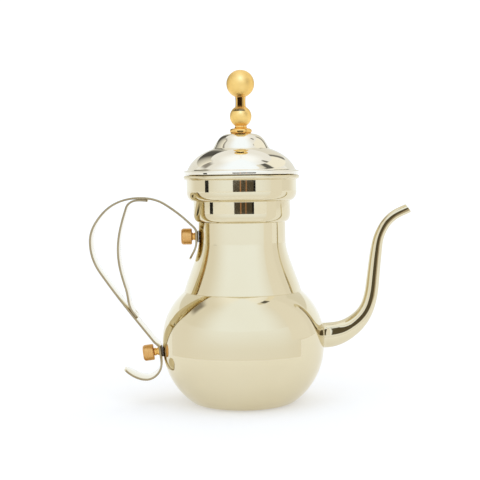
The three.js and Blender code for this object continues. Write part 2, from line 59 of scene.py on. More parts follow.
MM = 0.001
SAME_PLACE = 1e-7
WELD_DISTANCE = 1e-6
SHARP_CORNER = math.radians(24)
CRISP = 0.12 * MM
SOFT = 0.15 * MM

Spot = tuple[float, float]
Outline = list[Spot]
Colour = tuple[float, float, float]


class Body(Enum):
    """The rigid bodies that pieces ride on."""

    POT = "pot"
    LID = "lid"
    UPPER_CAP = "upper_cap"
    LOWER_CAP = "lower_cap"


class Level(Enum):
    """The two places where the handle is screwed on."""

    UPPER = "upper"
    LOWER = "lower"


class Slot(Enum):
    """The record's material slots."""

    BODY = "body_polished"
    LID = "lid_polished"
    CAP = "cap_brushed"
    BALL = "ball_satin"
    TRIM = "trim_polished"
    SPACER = "spacer_dark"
    STEEL = "hidden_steel"


# ---------------------------------------------------------------- finishes


class Nodes:
    """A node tree, with short ways to add to it."""

    def __init__(self, tree: bpy.types.NodeTree) -> None:
        """Keeps the tree."""
        self.tree = tree

    def add(self, kind: str, **settings: object) -> bpy.types.Node:
        """Adds a node.

        Args:
            kind: The node's type.
            **settings: Values for the node's own properties.

        Returns:
            The new node.
        """
        node = self.tree.nodes.new(kind)
        for key, value in settings.items():
            setattr(node, key, value)
        return node

    def join(self, source: bpy.types.NodeSocket, target: bpy.types.NodeSocket) -> None:
        """Links one socket to another."""
        self.tree.links.new(source, target)

    def feed(self, value: object, target: bpy.types.NodeSocket) -> None:
        """Gives a socket its value.

        Args:
            value: A socket to link, or a number or colour to set.
            target: The socket it feeds.
        """
        if isinstance(value, bpy.types.NodeSocket):
            self.join(value, target)
        elif isinstance(value, tuple):
            target.default_value = (*value, 1.0)
        else:
            target.default_value = value

    def math(self, operation: str, *values: object) -> bpy.types.NodeSocket:
        """A math node.

        Args:
            operation: What it does.
            *values: Its inputs, each a socket or a number.

        Returns:
            The result.
        """
        node = self.add("ShaderNodeMath", operation=operation)
        for value, target in zip(values, node.inputs):
            self.feed(value, target)
        return node.outputs[0]

    def split(self, vector: bpy.types.NodeSocket) -> bpy.types.NodeOutputs:
        """A vector's X, Y and Z.

        Args:
            vector: The vector.

        Returns:
            The sockets named X, Y and Z.
        """
        node = self.add("ShaderNodeSeparateXYZ")
        self.join(vector, node.inputs["Vector"])
        return node.outputs

    def ramped(self, value: bpy.types.NodeSocket, start: float, end: float) -> bpy.types.NodeSocket:
        """A smooth step from 0 at the start value to 1 at the end value.

        Args:
            value: What it reads.
            start: Where the step starts.
            end: Where the step ends.

        Returns:
            The step's height.
        """
        node = self.add("ShaderNodeMapRange", interpolation_type="SMOOTHSTEP")
        node.inputs["From Min"].default_value = start
        node.inputs["From Max"].default_value = end
        self.join(value, node.inputs["Value"])
        return node.outputs["Result"]

    def blend_colours(
        self, share: bpy.types.NodeSocket, first: object, second: Colour
    ) -> bpy.types.NodeSocket:
        """A colour between two, by a share.

        Args:
            share: The share of the second colour.
            first: The first colour, linear, or a socket that gives it.
            second: The second colour, linear.

        Returns:
            The mixed colour.
        """
        node = self.add("ShaderNodeMix", data_type="RGBA")
        shares, firsts, seconds = (node.inputs[i] for i in (0, 6, 7))
        self.join(share, shares)
        self.feed(first, firsts)
        self.feed(second, seconds)
        return node.outputs[2]


class NodeSheet(Nodes):
    """A material with one Principled shader, on object coordinates."""

    def __init__(self, name: str) -> None:
        """Makes an empty material with one shader.

        Args:
            name: The material's name.
        """
        self.material = bpy.data.materials.new(name)
        self.material.use_nodes = True
        super().__init__(self.material.node_tree)
        self.shader = self.tree.nodes["Principled BSDF"]
        self.place = self.add("ShaderNodeTexCoord").outputs["Object"]

    def set(self, socket: str, value: object) -> None:
        """Gives one of the shader's own sockets its value."""
        self.feed(value, self.shader.inputs[socket])

    def stretched(self, scale: tuple[float, float, float]) -> bpy.types.NodeSocket:
        """Object coordinates stretched by a scale along each axis.

        Args:
            scale: The factor on each axis.

        Returns:
            The stretched coordinates.
        """
        mapping = self.add("ShaderNodeMapping")
        mapping.inputs["Scale"].default_value = scale
        self.join(self.place, mapping.inputs["Vector"])
        return mapping.outputs["Vector"]

    def noise(self, where: bpy.types.NodeSocket, scale: float, detail: float = 3.0) -> bpy.types.NodeSocket:
        """A noise pattern.

        Args:
            where: The coordinates it reads.
            scale: Its cells per metre.
            detail: Its octaves.

        Returns:
            The noise's value, from 0 to 1.
        """
        node = self.add("ShaderNodeTexNoise")
        node.inputs["Scale"].default_value = scale
        node.inputs["Detail"].default_value = detail
        self.join(where, node.inputs["Vector"])
        return node.outputs["Fac"]

    def ranged(self, value: bpy.types.NodeSocket, low: float, high: float) -> bpy.types.NodeSocket:
        """Maps the middle of a noise to a range.

        Args:
            value: The noise.
            low: What its low parts become.
            high: What its high parts become.

        Returns:
            The mapped value.
        """
        node = self.add("ShaderNodeMapRange")
        node.inputs["From Min"].default_value = 0.3
        node.inputs["From Max"].default_value = 0.7
        node.inputs["To Min"].default_value = low
        node.inputs["To Max"].default_value = high
        self.join(value, node.inputs["Value"])
        return node.outputs["Result"]

    def bump(self, height: bpy.types.NodeSocket, depth: float) -> None:
        """Lets a height pattern tilt the surface.

        Args:
            height: The pattern.
            depth: Its depth in metres.
        """
        node = self.add("ShaderNodeBump")
        node.inputs["Strength"].default_value = 1.0
        node.inputs["Distance"].default_value = depth
        self.join(height, node.inputs["Height"])
        self.set("Normal", node.outputs["Normal"])


@dataclass(frozen=True)
class Polish:
    """Mirror-polished plating: faint smears in the gloss and the last trace of the buffing lines.

    Attributes:
        name: The material's name.
        colour: The plating's colour, linear.
        deeper: The colour where the plating is a little thicker.
        roughness: The gloss of a clean spot.
        smear: How much roughness a smear adds.
        line_depth: The depth of the buffing lines in metres.
    """

    name: str
    colour: Colour
    deeper: Colour
    roughness: float = 0.035
    smear: float = 0.035
    line_depth: float = 0.4e-6

    def make(self) -> bpy.types.Material:
        """Builds the finish's nodes.

        Returns:
            The material.
        """
        sheet = NodeSheet(self.name)
        sheet.set("Metallic", 1.0)
        cloud = sheet.noise(sheet.place, 26.0, 2.0)
        tone = sheet.blend_colours(sheet.ranged(cloud, 0.0, 1.0), self.colour, self.deeper)
        sheet.set("Base Color", tone)
        smears = sheet.noise(sheet.stretched((1.0, 1.0, 2.2)), 55.0, 4.0)
        gloss = sheet.ranged(smears, self.roughness, self.roughness + self.smear)
        sheet.set("Roughness", gloss)
        lines = sheet.noise(sheet.stretched((1.0, 1.0, 14.0)), 230.0, 2.0)
        sheet.bump(lines, self.line_depth)
        return sheet.material


@dataclass(frozen=True)
class Brushed:
    """Turned metal left with fine lines that run round the piece.

    Attributes:
        name: The material's name.
        colour: The metal's colour, linear.
        groove: The colour down in the lines.
        axis: The direction that the lines run round.
        roughness: The mean roughness.
        line_depth: The depth of the lines in metres.
    """

    name: str
    colour: Colour
    groove: Colour
    axis: tuple[float, float, float] = (0.0, 0.0, 1.0)
    roughness: float = 0.3
    line_depth: float = 6e-6

    def make(self) -> bpy.types.Material:
        """Builds the finish's nodes.

        Returns:
            The material.
        """
        sheet = NodeSheet(self.name)
        sheet.set("Metallic", 1.0)
        sheet.set("Anisotropic", 0.35)
        across = sheet.add("ShaderNodeVectorMath", operation="DOT_PRODUCT")
        across.inputs[1].default_value = self.axis
        sheet.join(sheet.place, across.inputs[0])
        rings = sheet.add("ShaderNodeCombineXYZ")
        sheet.join(across.outputs["Value"], rings.inputs["X"])
        lines = sheet.noise(rings.outputs["Vector"], 2600.0, 3.0)
        patches = sheet.noise(sheet.place, 420.0, 3.0)
        tone = sheet.blend_colours(sheet.ranged(lines, 0.0, 1.0), self.groove, self.colour)
        sheet.set("Base Color", tone)
        gloss = sheet.ranged(patches, self.roughness - 0.06, self.roughness + 0.08)
        sheet.set("Roughness", gloss)
        sheet.bump(lines, self.line_depth)
        return sheet.material


@dataclass(frozen=True)
class Satin:
    """Fine-blasted plating with a soft, even sheen.

    Attributes:
        name: The material's name.
        colour: The metal's colour, linear.
        worn: The colour where handling has polished it.
        roughness: The mean roughness.
        grain_depth: The depth of the grain in metres.
    """

    name: str
    colour: Colour
    worn: Colour
    roughness: float = 0.4
    grain_depth: float = 4e-6

    def make(self) -> bpy.types.Material:
        """Builds the finish's nodes.

        Returns:
            The material.
        """
        sheet = NodeSheet(self.name)
        sheet.set("Metallic", 1.0)
        cloud = sheet.noise(sheet.place, 130.0, 3.0)
        tone = sheet.blend_colours(sheet.ranged(cloud, 0.0, 1.0), self.colour, self.worn)
        sheet.set("Base Color", tone)
        gloss = sheet.ranged(cloud, self.roughness + 0.04, self.roughness - 0.04)
        sheet.set("Roughness", gloss)
        grain = sheet.noise(sheet.place, 5200.0, 2.0)
        sheet.bump(grain, self.grain_depth)
        return sheet.material


CHAMPAGNE = Polish("champagne_polish", (0.755, 0.675, 0.475), (0.74, 0.655, 0.45))
CUT_EDGE = Satin(
    "sheared_edge", (0.35, 0.28, 0.165), (0.43, 0.35, 0.215), roughness=0.33, grain_depth=6e-6
)
LID_SILVER = Polish("lid_polish", (0.87, 0.83, 0.715), (0.86, 0.815, 0.695))
TRIM_GOLD = Polish(
    "trim_polish", (0.92, 0.60, 0.20), (0.88, 0.55, 0.17), roughness=0.06, smear=0.04
)
INSIDE_STEEL = Satin(
    "inside_satin", (0.70, 0.66, 0.58), (0.74, 0.70, 0.62), roughness=0.3
)
BALL_GOLD = Satin("ball_satin", (0.90, 0.615, 0.195), (0.92, 0.65, 0.235), roughness=0.48)
# Near-black washer finish, partly painted shade: it also stands for the shadow in the gap between the pot
# and the handle strip.
SPACER_DARK_AND_GAP_SHADE = Satin("spacer_dark", (0.13, 0.105, 0.08), (0.17, 0.14, 0.11), roughness=0.35)
CAP_BRASS = Brushed("cap_brushed", (0.76, 0.45, 0.165), (0.62, 0.34, 0.115), roughness=0.27)
TURNED_STEEL = Brushed("turned_steel", (0.62, 0.62, 0.60), (0.52, 0.52, 0.50))
STUD_STEEL = Brushed("stud_steel", (0.62, 0.62, 0.60), (0.50, 0.50, 0.48))


# ---------------------------------------------------------------- outlines


def even(start: float, end: float, steps: int) -> list[float]:
    """Evenly spaced numbers, both ends included."""
    return [start + (end - start) * i / steps for i in range(steps + 1)]


def arc_from_upright(start: Spot, end: Spot, steps: int) -> Outline:
    """Points of a circular arc that is upright at its start.

    Args:
        start: Radius and height where it is upright.
        end: Radius and height where it ends.
        steps: The number of chords.

    Returns:
        The points from start to end.
    """
    inset = start[0] - end[0]
    rise = end[1] - start[1]
    radius = (rise**2 + inset**2) / (2 * inset)
    sweep = math.asin(rise / radius)
    return [
        (start[0] - radius * (1 - math.cos(a)), start[1] + radius * math.sin(a))
        for a in even(0.0, sweep, steps)
    ]


def bowl(start: Spot, width: float, height: float, steps: int) -> Outline:
    """Points of a quarter ellipse that leaves its start flat and arrives upright.

    Args:
        start: Radius and height of the start.
        width: How far out it goes.
        height: How far up it goes.
        steps: The number of chords.

    Returns:
        The points from start to end.
    """
    return [
        (start[0] + width * math.sin(a), start[1] + height * (1 - math.cos(a)))
        for a in even(0.0, math.pi / 2, steps)
    ]


def bulge(start: Spot, width: float, height: float, steps: int) -> Outline:
    """Points of an outward half ellipse that rises from its start and ends above it.

    Args:
        start: Radius and height of the start.
        width: How far out it stands.
        height: How tall it is.
        steps: The number of chords.

    Returns:
        The points from start to end.
    """
    return [
        (start[0] + width * math.cos(a), start[1] + height / 2 * (1 + math.sin(a)))
        for a in even(-math.pi / 2, math.pi / 2, steps)
    ]


def ball_side(radius: float, middle: float, angles: Spot, steps: int) -> Outline:
    """Points up the side of a ball.

    Args:
        radius: The ball's radius.
        middle: The height of its middle.
        angles: The first and last angle from straight down, in radians.
        steps: The number of chords.

    Returns:
        The points from the lowest to the highest.
    """
    return [
        (radius * math.sin(a), middle - radius * math.cos(a)) for a in even(*angles, steps)
    ]


def bezier(points: Outline, steps: int) -> Outline:
    """Points of a Bezier curve.

    Args:
        points: Its start, its one or two control points and its end.
        steps: The number of chords.

    Returns:
        The points from start to end.
    """
    made = []
    for t in even(0.0, 1.0, steps):
        level = [Vector(p) for p in points]
        while len(level) > 1:
            level = [a.lerp(b, t) for a, b in zip(level, level[1:])]
        made.append((level[0].x, level[0].y))
    return made


def straight(start: Spot, end: Spot, near: float = 0.25 * MM) -> Outline:
    """An upright stretch, with a point near each end that keeps its shading straight.

    Args:
        start: Its lower end.
        end: Its upper end.
        near: How near to the ends the extra points are.

    Returns:
        The stretch's points.
    """
    return [start, (start[0], start[1] + near), (end[0], end[1] - near), end]


def moved_sideways(points: Outline, distance: float) -> Outline:
    """The outline moved to the left of its direction, with mitred corners.

    Args:
        points: An open outline.
        distance: How far it moves.

    Returns:
        The moved outline.
    """
    made = []
    for i, point in enumerate(points):
        here = Vector(point)
        into = here - Vector(points[max(i - 1, 0)])
        out = Vector(points[min(i + 1, len(points) - 1)]) - here
        into = (out if i == 0 else into).normalized()
        out = (into if i == len(points) - 1 else out).normalized()
        normal = Vector((-into.y - out.y, into.x + out.x)).normalized()
        mitre = distance / max(normal.dot(Vector((-into.y, into.x))), 0.5)
        moved = here + normal * mitre
        made.append((moved.x, moved.y))
    return made


def without_repeats(points: Outline) -> Outline:
    """The outline without points that sit on top of the one before.

    Args:
        points: The outline.

    Returns:
        The points that are left.
    """
    kept = [points[0]]
    for point in points[1:]:
        if (Vector(point) - Vector(kept[-1])).length > SAME_PLACE:
            kept.append(point)
    return kept


def eased(points: Outline, radius: float, closed: bool, steps: int = 3) -> Outline:
    """The outline with its sharp corners rounded.

    Args:
        points: The outline.
        radius: How far from a corner its rounding starts.
        closed: Whether the last point joins the first.
        steps: Chords for each rounding.

    Returns:
        The rounded outline.
    """
    made: Outline = []
    count = len(points)
    for i, point in enumerate(points):
        here = Vector(point)
        before = Vector(points[i - 1]) - here
        after = Vector(points[(i + 1) % count]) - here
        at_end = not closed and i in (0, count - 1)
        if at_end or (-before).angle(after, 0.0) < SHARP_CORNER:
            made.append(point)
            continue
        reach = min(radius, 0.45 * before.length, 0.45 * after.length)
        start = here + before.normalized() * reach
        end = here + after.normalized() * reach
        made += bezier([tuple(start), point, tuple(end)], steps)
    return without_repeats(made)


# ---------------------------------------------------------------- work at the bench


def clear_selection() -> None:
    """Deselects every object."""
    bpy.ops.object.select_all(action="DESELECT")


def pick(*pieces: bpy.types.Object) -> None:
    """Selects only these objects, the first one active.

    Args:
        *pieces: The objects.
    """
    clear_selection()
    for piece in pieces:
        piece.select_set(True)
    bpy.context.view_layer.objects.active = pieces[0]


def into_place(piece: bpy.types.Object) -> None:
    """Puts an object's place, turn and size into its mesh."""
    pick(piece)
    bpy.ops.object.transform_apply(location=True, rotation=True, scale=True)


def smooth(piece: bpy.types.Object, sharpest: float = 32.0) -> None:
    """Shades a piece smooth, except along edges sharper than an angle in degrees."""
    pick(piece)
    bpy.ops.object.shade_smooth_by_angle(angle=math.radians(sharpest))


def turned(
    name: str, outline: Outline, sides: int, closed: bool = True, sharpest: float = 32.0
) -> bpy.types.Object:
    """A piece spun about Z from an outline drawn point by point.

    Args:
        name: The piece's name.
        outline: Radius and height of each point.
        sides: Steps round the axis.
        closed: Whether the outline closes on itself; if not, it starts and ends on the axis.
        sharpest: Edges sharper than this, in degrees, stay crisp.

    Returns:
        The finished piece.
    """
    clear_selection()
    start = (outline[0][0], 0.0, outline[0][1])
    bpy.ops.mesh.primitive_plane_add(size=0.1 * MM, location=start)
    piece = bpy.context.object
    piece.name = piece.data.name = name
    into_place(piece)
    bpy.ops.object.mode_set(mode="EDIT")
    bpy.ops.mesh.select_all(action="SELECT")
    bpy.ops.mesh.merge(type="CENTER")
    path = outline + outline[:1] if closed else outline
    for (r0, z0), (r1, z1) in zip(path, path[1:]):
        step = {"value": (r1 - r0, 0.0, z1 - z0)}
        bpy.ops.mesh.extrude_region_move(TRANSFORM_OT_translate=step)
    bpy.ops.mesh.select_all(action="SELECT")
    bpy.ops.mesh.remove_doubles(threshold=WELD_DISTANCE)
    bpy.ops.mesh.select_all(action="SELECT")
    bpy.ops.mesh.spin(steps=sides, angle=math.tau, center=(0, 0, 0), axis=(0, 0, 1))
    bpy.ops.mesh.select_all(action="SELECT")
    bpy.ops.mesh.remove_doubles(threshold=WELD_DISTANCE)
    bpy.ops.mesh.normals_make_consistent(inside=False)
    bpy.ops.object.mode_set(mode="OBJECT")
    smooth(piece, sharpest)
    return piece


def upright_to(base: Vector, axis: Vector) -> Matrix:
    """The place that carries the origin to a point and +Z to a direction."""
    return Matrix.Translation(base) @ axis.to_track_quat("Z", "Y").to_matrix().to_4x4()


def apply_modifier(piece: bpy.types.Object, name: str, kind: str, **settings: object) -> None:
    """Adds a modifier to the active piece and applies it.

    Args:
        piece: The piece, which is the active object.
        name: The modifier's name.
        kind: Its type.
        **settings: Values for its own properties.
    """
    modifier = piece.modifiers.new(name, kind)
    for key, value in settings.items():
        setattr(modifier, key, value)
    bpy.ops.object.modifier_apply(modifier=modifier.name)


def round_edges(piece: bpy.types.Object, width: float, sharpest: float) -> None:
    """Rounds the active piece's sharp edges.

    Args:
        piece: The piece.
        width: The width of the rounding.
        sharpest: The angle in degrees from which an edge counts as sharp.
    """
    angle = math.radians(sharpest)
    apply_modifier(
        piece, "edges", "BEVEL", width=width, segments=3, limit_method="ANGLE", angle_limit=angle
    )


def standing_on(piece: bpy.types.Object, base: Vector, axis: Vector) -> bpy.types.Object:
    """Moves a piece made about +Z so that it stands on a point along an axis.

    Args:
        piece: The piece.
        base: Where its origin goes.
        axis: Where its +Z points.

    Returns:
        The same piece, with its place in its mesh.
    """
    piece.matrix_world = upright_to(base, axis)
    into_place(piece)
    return piece


def drilled(piece: bpy.types.Object, base: Vector, axis: Vector, radius: float, depth: float) -> None:
    """Drills a round hole through a piece.

    Args:
        piece: The piece.
        base: Where the drill starts.
        axis: The drill's direction.
        radius: The hole's radius.
        depth: How far the drill goes.
    """
    clear_selection()
    bpy.ops.mesh.primitive_cylinder_add(vertices=48, radius=radius, depth=depth)
    drill = bpy.context.object
    standing_on(drill, base + axis * depth / 2, axis)
    pick(piece)
    apply_modifier(piece, "hole", "BOOLEAN", operation="DIFFERENCE", object=drill, solver="EXACT")
    bpy.data.objects.remove(drill)


@dataclass(frozen=True)
class Knot:
    """A point of a bent part's centre line, in the XZ plane.

    Attributes:
        x: Its X in metres.
        z: Its height in metres.
        heading: The direction there, in degrees from +X towards +Z.
        radius: The radius of a round part there.
    """

    x: float
    z: float
    heading: float
    radius: float = 0.0

    @property
    def point(self) -> Vector:
        """The knot as a point."""
        return Vector((self.x, 0.0, self.z))


def pointing(degrees: float) -> Vector:
    """The unit vector in the XZ plane at an angle from +X."""
    return Vector((math.cos(math.radians(degrees)), 0.0, math.sin(math.radians(degrees))))


def left_of(direction: Vector) -> Vector:
    """The direction to the left of a direction in the XZ plane."""
    return Vector((-direction.z, 0.0, direction.x))


@dataclass
class Station:
    """A place along a bent part.

    Attributes:
        point: The place.
        heading: The direction there, in degrees from +X towards +Z.
        length: The line's length so far.
    """

    point: Vector
    heading: float
    length: float


class BentLine:
    """A smooth line through knots, each span a cubic curve.

    Attributes:
        pull: How far each knot's direction is followed, as a share of the span's chord.
        straight_steps: Steps along a straight span.
        fewest_steps: The fewest steps along a bent span.
    """

    pull = 0.36
    straight_steps = 3
    fewest_steps = 6

    def __init__(self, knots: list[Knot], turn_per_step: float = 1.5) -> None:
        """Works out the stations of the line.

        Args:
            knots: The knots in order.
            turn_per_step: Degrees of bend from one station to the next.
        """
        self.knots = knots
        self.marks = [0.0]
        self.stations = [Station(knots[0].point, knots[0].heading, 0.0)]
        for first, second in zip(knots, knots[1:]):
            self._add_span(first, second, turn_per_step)
            self.marks.append(self.length)

    def _add_span(self, first: Knot, second: Knot, turn_per_step: float) -> None:
        """Adds the stations between two knots.

        Args:
            first: The knot where the span starts.
            second: The knot where it ends.
            turn_per_step: Degrees of bend from one station to the next.
        """
        turn = abs(second.heading - first.heading)
        chord = (second.point - first.point).length
        steps = max(self.fewest_steps, math.ceil(turn / turn_per_step)) if turn else self.straight_steps
        corners = [
            first.point,
            first.point + pointing(first.heading) * chord * self.pull,
            second.point - pointing(second.heading) * chord * self.pull,
            second.point,
        ]
        for t in even(0.0, 1.0, steps)[1:]:
            a, b, c = (p.lerp(q, t) for p, q in zip(corners, corners[1:]))
            d, e = a.lerp(b, t), b.lerp(c, t)
            place, along = d.lerp(e, t), e - d
            previous = self.stations[-1]
            heading = math.degrees(math.atan2(along.z, along.x))
            heading += 360 * round((previous.heading - heading) / 360)
            length = previous.length + (place - previous.point).length
            self.stations.append(Station(place, heading, length))

    @property
    def length(self) -> float:
        """The line's whole length."""
        return self.stations[-1].length

    def at(self, length: float) -> Station:
        """The station at a length along the line, between the worked-out ones.

        Args:
            length: The length from the line's start.

        Returns:
            The station there.
        """
        for before, after in zip(self.stations, self.stations[1:]):
            if after.length >= length:
                share = (length - before.length) / max(after.length - before.length, 1e-12)
                point = before.point.lerp(after.point, share)
                heading = before.heading + share * (after.heading - before.heading)
                return Station(point, heading, length)
        return self.stations[-1]

    def nearest_x(self, x: float, low: float, high: float) -> float:
        """The length, between two lengths, where the line comes closest to an X."""
        return min(even(low, high, 400), key=lambda s: abs(self.at(s).point.x - x))


def drawn_along(stations: list[Station], resize: list[tuple[float, ...]]) -> None:
    """Draws the selected edges or face along stations, in edit mode.

    Args:
        stations: The stations, the first one being where the selection stands.
        resize: The factors on X, Y and Z from each station to the next.
    """
    for before, after, factors in zip(stations, stations[1:], resize):
        step = {"value": tuple(after.point - before.point)}
        bpy.ops.mesh.extrude_region_move(TRANSFORM_OT_translate=step)
        middle = tuple(after.point)
        bpy.ops.transform.rotate(
            value=math.radians(after.heading - before.heading),
            orient_axis="Y",
            orient_type="GLOBAL",
            center_override=middle,
        )
        if factors != (1.0, 1.0, 1.0):
            bpy.ops.transform.resize(value=factors, center_override=middle)


# ---------------------------------------------------------------- sub-assemblies


def radius_of(node: str) -> float:
    """The largest Y of a turned CAD node, which is its radius."""
    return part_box(node)[1].y


def finish_piece(
    piece: bpy.types.Object, body: Body, slot: Slot, material: bpy.types.Material, *nodes: str
) -> None:
    """Dresses a piece and hangs it on its body.

    Args:
        piece: The piece.
        body: The body that it rides on.
        slot: The record's slot of its finish. Not used.
        material: Its material.
        *nodes: The CAD nodes that it stands for.
    """
    if not piece.data.materials:
        piece.data.materials.append(material)
    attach(piece, body.value)
    if nodes:
        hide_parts(*nodes)
    log.info("%s: %d faces on %s", piece.name, len(piece.data.polygons), body.value)


@dataclass
class Vessel:
    """The spun lower body and the neck with its stepped collars.

    Attributes:
        wall: The sheet's thickness.
        base_radius: The radius of the flat it stands on.
        heel_width: How far out the heel reaches.
        heel_height: How high the heel rises.
        band: The lowest and highest point of the upright belt.
        throat_radius: The radius of the narrowest part of the neck.
        flare_height: How high above the crease the neck turns upright.
        throat_height: How far the neck stays upright.
        lower_collar: Width, curve height and band height of the lower collar.
        upper_collar: The same of the upper collar.
        rim_height: The height of the rolled rim.
        rim_width: How far out the rim stands.
        crease_radius: The radius where neck and body meet.
        base_step: How far in the base's recess starts, the width of its slope and its depth.
        seam_radius: The radius of the bead of solder in the crease.
        spout_height: The height of the spout's root.
        pour_hole: The radius of the hole behind the spout.
        sides: Steps round the axis.
        radius: The greatest radius.
        crease_height: The height of the crease.
        rim_top: The height of the rim.
    """

    wall: float = 1.0 * MM
    base_radius: float = 30 * MM
    heel_width: float = 6.7 * MM
    heel_height: float = 2 * MM
    band: tuple[float, float] = (39 * MM, 43.5 * MM)
    throat_radius: float = 29.5 * MM
    flare_height: float = 33 * MM
    throat_height: float = 13.9 * MM
    lower_collar: tuple[float, float, float] = (3.4 * MM, 6.0 * MM, 8.1 * MM)
    upper_collar: tuple[float, float, float] = (4.5 * MM, 6.8 * MM, 7.5 * MM)
    rim_height: float = 3.2 * MM
    rim_width: float = 2.0 * MM
    crease_radius: float = 39.7 * MM
    base_step: tuple[float, float, float] = (5 * MM, 1 * MM, 0.35 * MM)
    seam_radius: float = 0.22 * MM
    spout_height: float = 44.4 * MM
    pour_hole: float = 6.5 * MM
    sides: int = 192
    radius: float = field(default_factory=lambda: radius_of("bulb_shell"))
    crease_height: float = field(default_factory=lambda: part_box("bulb_shell")[1].z)
    rim_top: float = field(default_factory=lambda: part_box("neck_shell")[1].z)

    def bulb_outline(self) -> Outline:
        """Draws the outside of the lower body.

        Returns:
            Its outline, from the edge of the base to the crease.
        """
        heel_radius = self.base_radius + self.heel_width
        heel = (heel_radius, self.heel_height)
        belt = arc_from_upright((self.radius, self.band[0]), heel, 40)[::-1]
        slope = (belt[1][0] - belt[0][0]) / (belt[1][1] - belt[0][1])
        control = (heel_radius - slope * self.heel_height, 0.0)
        top = (self.crease_radius, self.crease_height)
        return without_repeats(
            bezier([(self.base_radius, 0.0), control, heel], 8)
            + belt
            + arc_from_upright((self.radius, self.band[1]), top, 40)
        )

    def bulb_radius_at(self, height: float) -> float:
        """Measures the outside of the lower body.

        Args:
            height: Where it is measured.

        Returns:
            The radius there.
        """
        outline = self.bulb_outline()
        for (r0, z0), (r1, z1) in zip(outline, outline[1:]):
            if z0 <= height <= z1 and z1 > z0:
                return r0 + (r1 - r0) * (height - z0) / (z1 - z0)
        return outline[-1][0]

    def neck_outline(self) -> Outline:
        """Draws the outside of the neck and its collars.

        Returns:
            Its outline, from the crease to under the rim.
        """
        flare_top = self.crease_height + self.flare_height
        flare = bezier(
            [
                (self.crease_radius, self.crease_height),
                (self.crease_radius - 2.4 * MM, self.crease_height + 0.3 * self.flare_height),
                (self.throat_radius + 1.4 * MM, self.crease_height + 0.66 * self.flare_height),
                (self.throat_radius, flare_top),
            ],
            32,
        )
        throat_top = flare_top + self.throat_height
        width, curve, band = self.lower_collar
        lower = bowl((self.throat_radius, throat_top), width, curve, 14)
        collar_radius = self.throat_radius + width
        upper_start = throat_top + curve + band
        width, curve, band = self.upper_collar
        upper = bowl((collar_radius, upper_start), width, curve, 14)
        mouth_radius = collar_radius + width
        throat_band = straight((self.throat_radius, flare_top), (self.throat_radius, throat_top))
        lower_band = straight(lower[-1], (collar_radius, upper_start))
        upper_band = straight(upper[-1], (mouth_radius, self.rim_top - self.rim_height))
        return without_repeats(flare + throat_band + lower + lower_band + upper + upper_band)

    def make_bulb(self) -> bpy.types.Object:
        """Spins the lower body with its stepped base and drills it behind the spout.

        Returns:
            The lower body.
        """
        outer = self.bulb_outline()
        inner = moved_sideways(outer, self.wall)
        inner[0] = (self.base_radius, self.wall)
        inner[-1] = (self.crease_radius - self.wall, self.crease_height)
        margin, slope, depth = self.base_step
        step = self.base_radius - margin
        recess = [(0.0, depth), (step - slope, depth), (step, 0.0)]
        outline = recess + outer + inner[::-1] + [(0.0, self.wall)]
        piece = turned("lower_body", eased(outline, CRISP, False), self.sides, closed=False)
        hole_base = Vector((self.radius - 12 * MM, 0.0, self.spout_height))
        drilled(piece, hole_base, Vector((1, 0, 0)), self.pour_hole, 16 * MM)
        smooth(piece)
        return piece

    def make_neck(self) -> bpy.types.Object:
        """Spins the neck: flare, two stepped collars and a rim rolled over outwards.

        Returns:
            The neck.
        """
        outer = self.neck_outline()
        inner = moved_sideways(outer, self.wall)
        inner[0] = (inner[0][0], self.crease_height)
        inner[-1] = (inner[-1][0], self.rim_top)
        mouth_radius = outer[-1][0]
        rim = bulge((mouth_radius, self.rim_top - self.rim_height), self.rim_width, self.rim_height, 20)
        loop = without_repeats(outer + rim + inner[::-1])
        return turned("neck", eased(loop, SOFT, True), self.sides, sharpest=40)

    def make_seam(self) -> bpy.types.Object:
        """Makes the fine bead of solder in the crease between body and neck.

        Returns:
            The bead.
        """
        size = self.seam_radius
        loop = [
            (self.crease_radius + size * math.cos(a), self.crease_height + size * math.sin(a))
            for a in even(0.0, math.tau, 12)[:-1]
        ]
        return turned("crease_seam", loop, self.sides)

    def build(self, polish: bpy.types.Material) -> None:
        """Builds and dresses the vessel.

        Args:
            polish: The material of its outside.
        """
        inside = INSIDE_STEEL.make()
        for piece, node in ((self.make_bulb(), "bulb_shell"), (self.make_neck(), "neck_shell")):
            piece.data.materials.append(polish)
            piece.data.materials.append(inside)
            self.dress_inside(piece)
            finish_piece(piece, Body.POT, Slot.BODY, polish, node)
        finish_piece(self.make_seam(), Body.POT, Slot.BODY, polish)
        Spout(self).build(polish)

    def dress_inside(self, piece: bpy.types.Object) -> None:
        """Gives the faces that look at the axis, or up from the bottom, the plain inside finish.

        Args:
            piece: The body or the neck, with the inside finish as its second material.
        """
        for face in piece.data.polygons:
            outward = Vector((face.center.x, face.center.y, 0.0))
            looks_in = face.normal.dot(outward) < -0.3 * outward.length
            floor = face.normal.z > 0.5 and face.center.z < 0.5 * self.band[0]
            if face.center.z < self.rim_top - 1 * MM and (looks_in or floor):
                face.material_index = 1


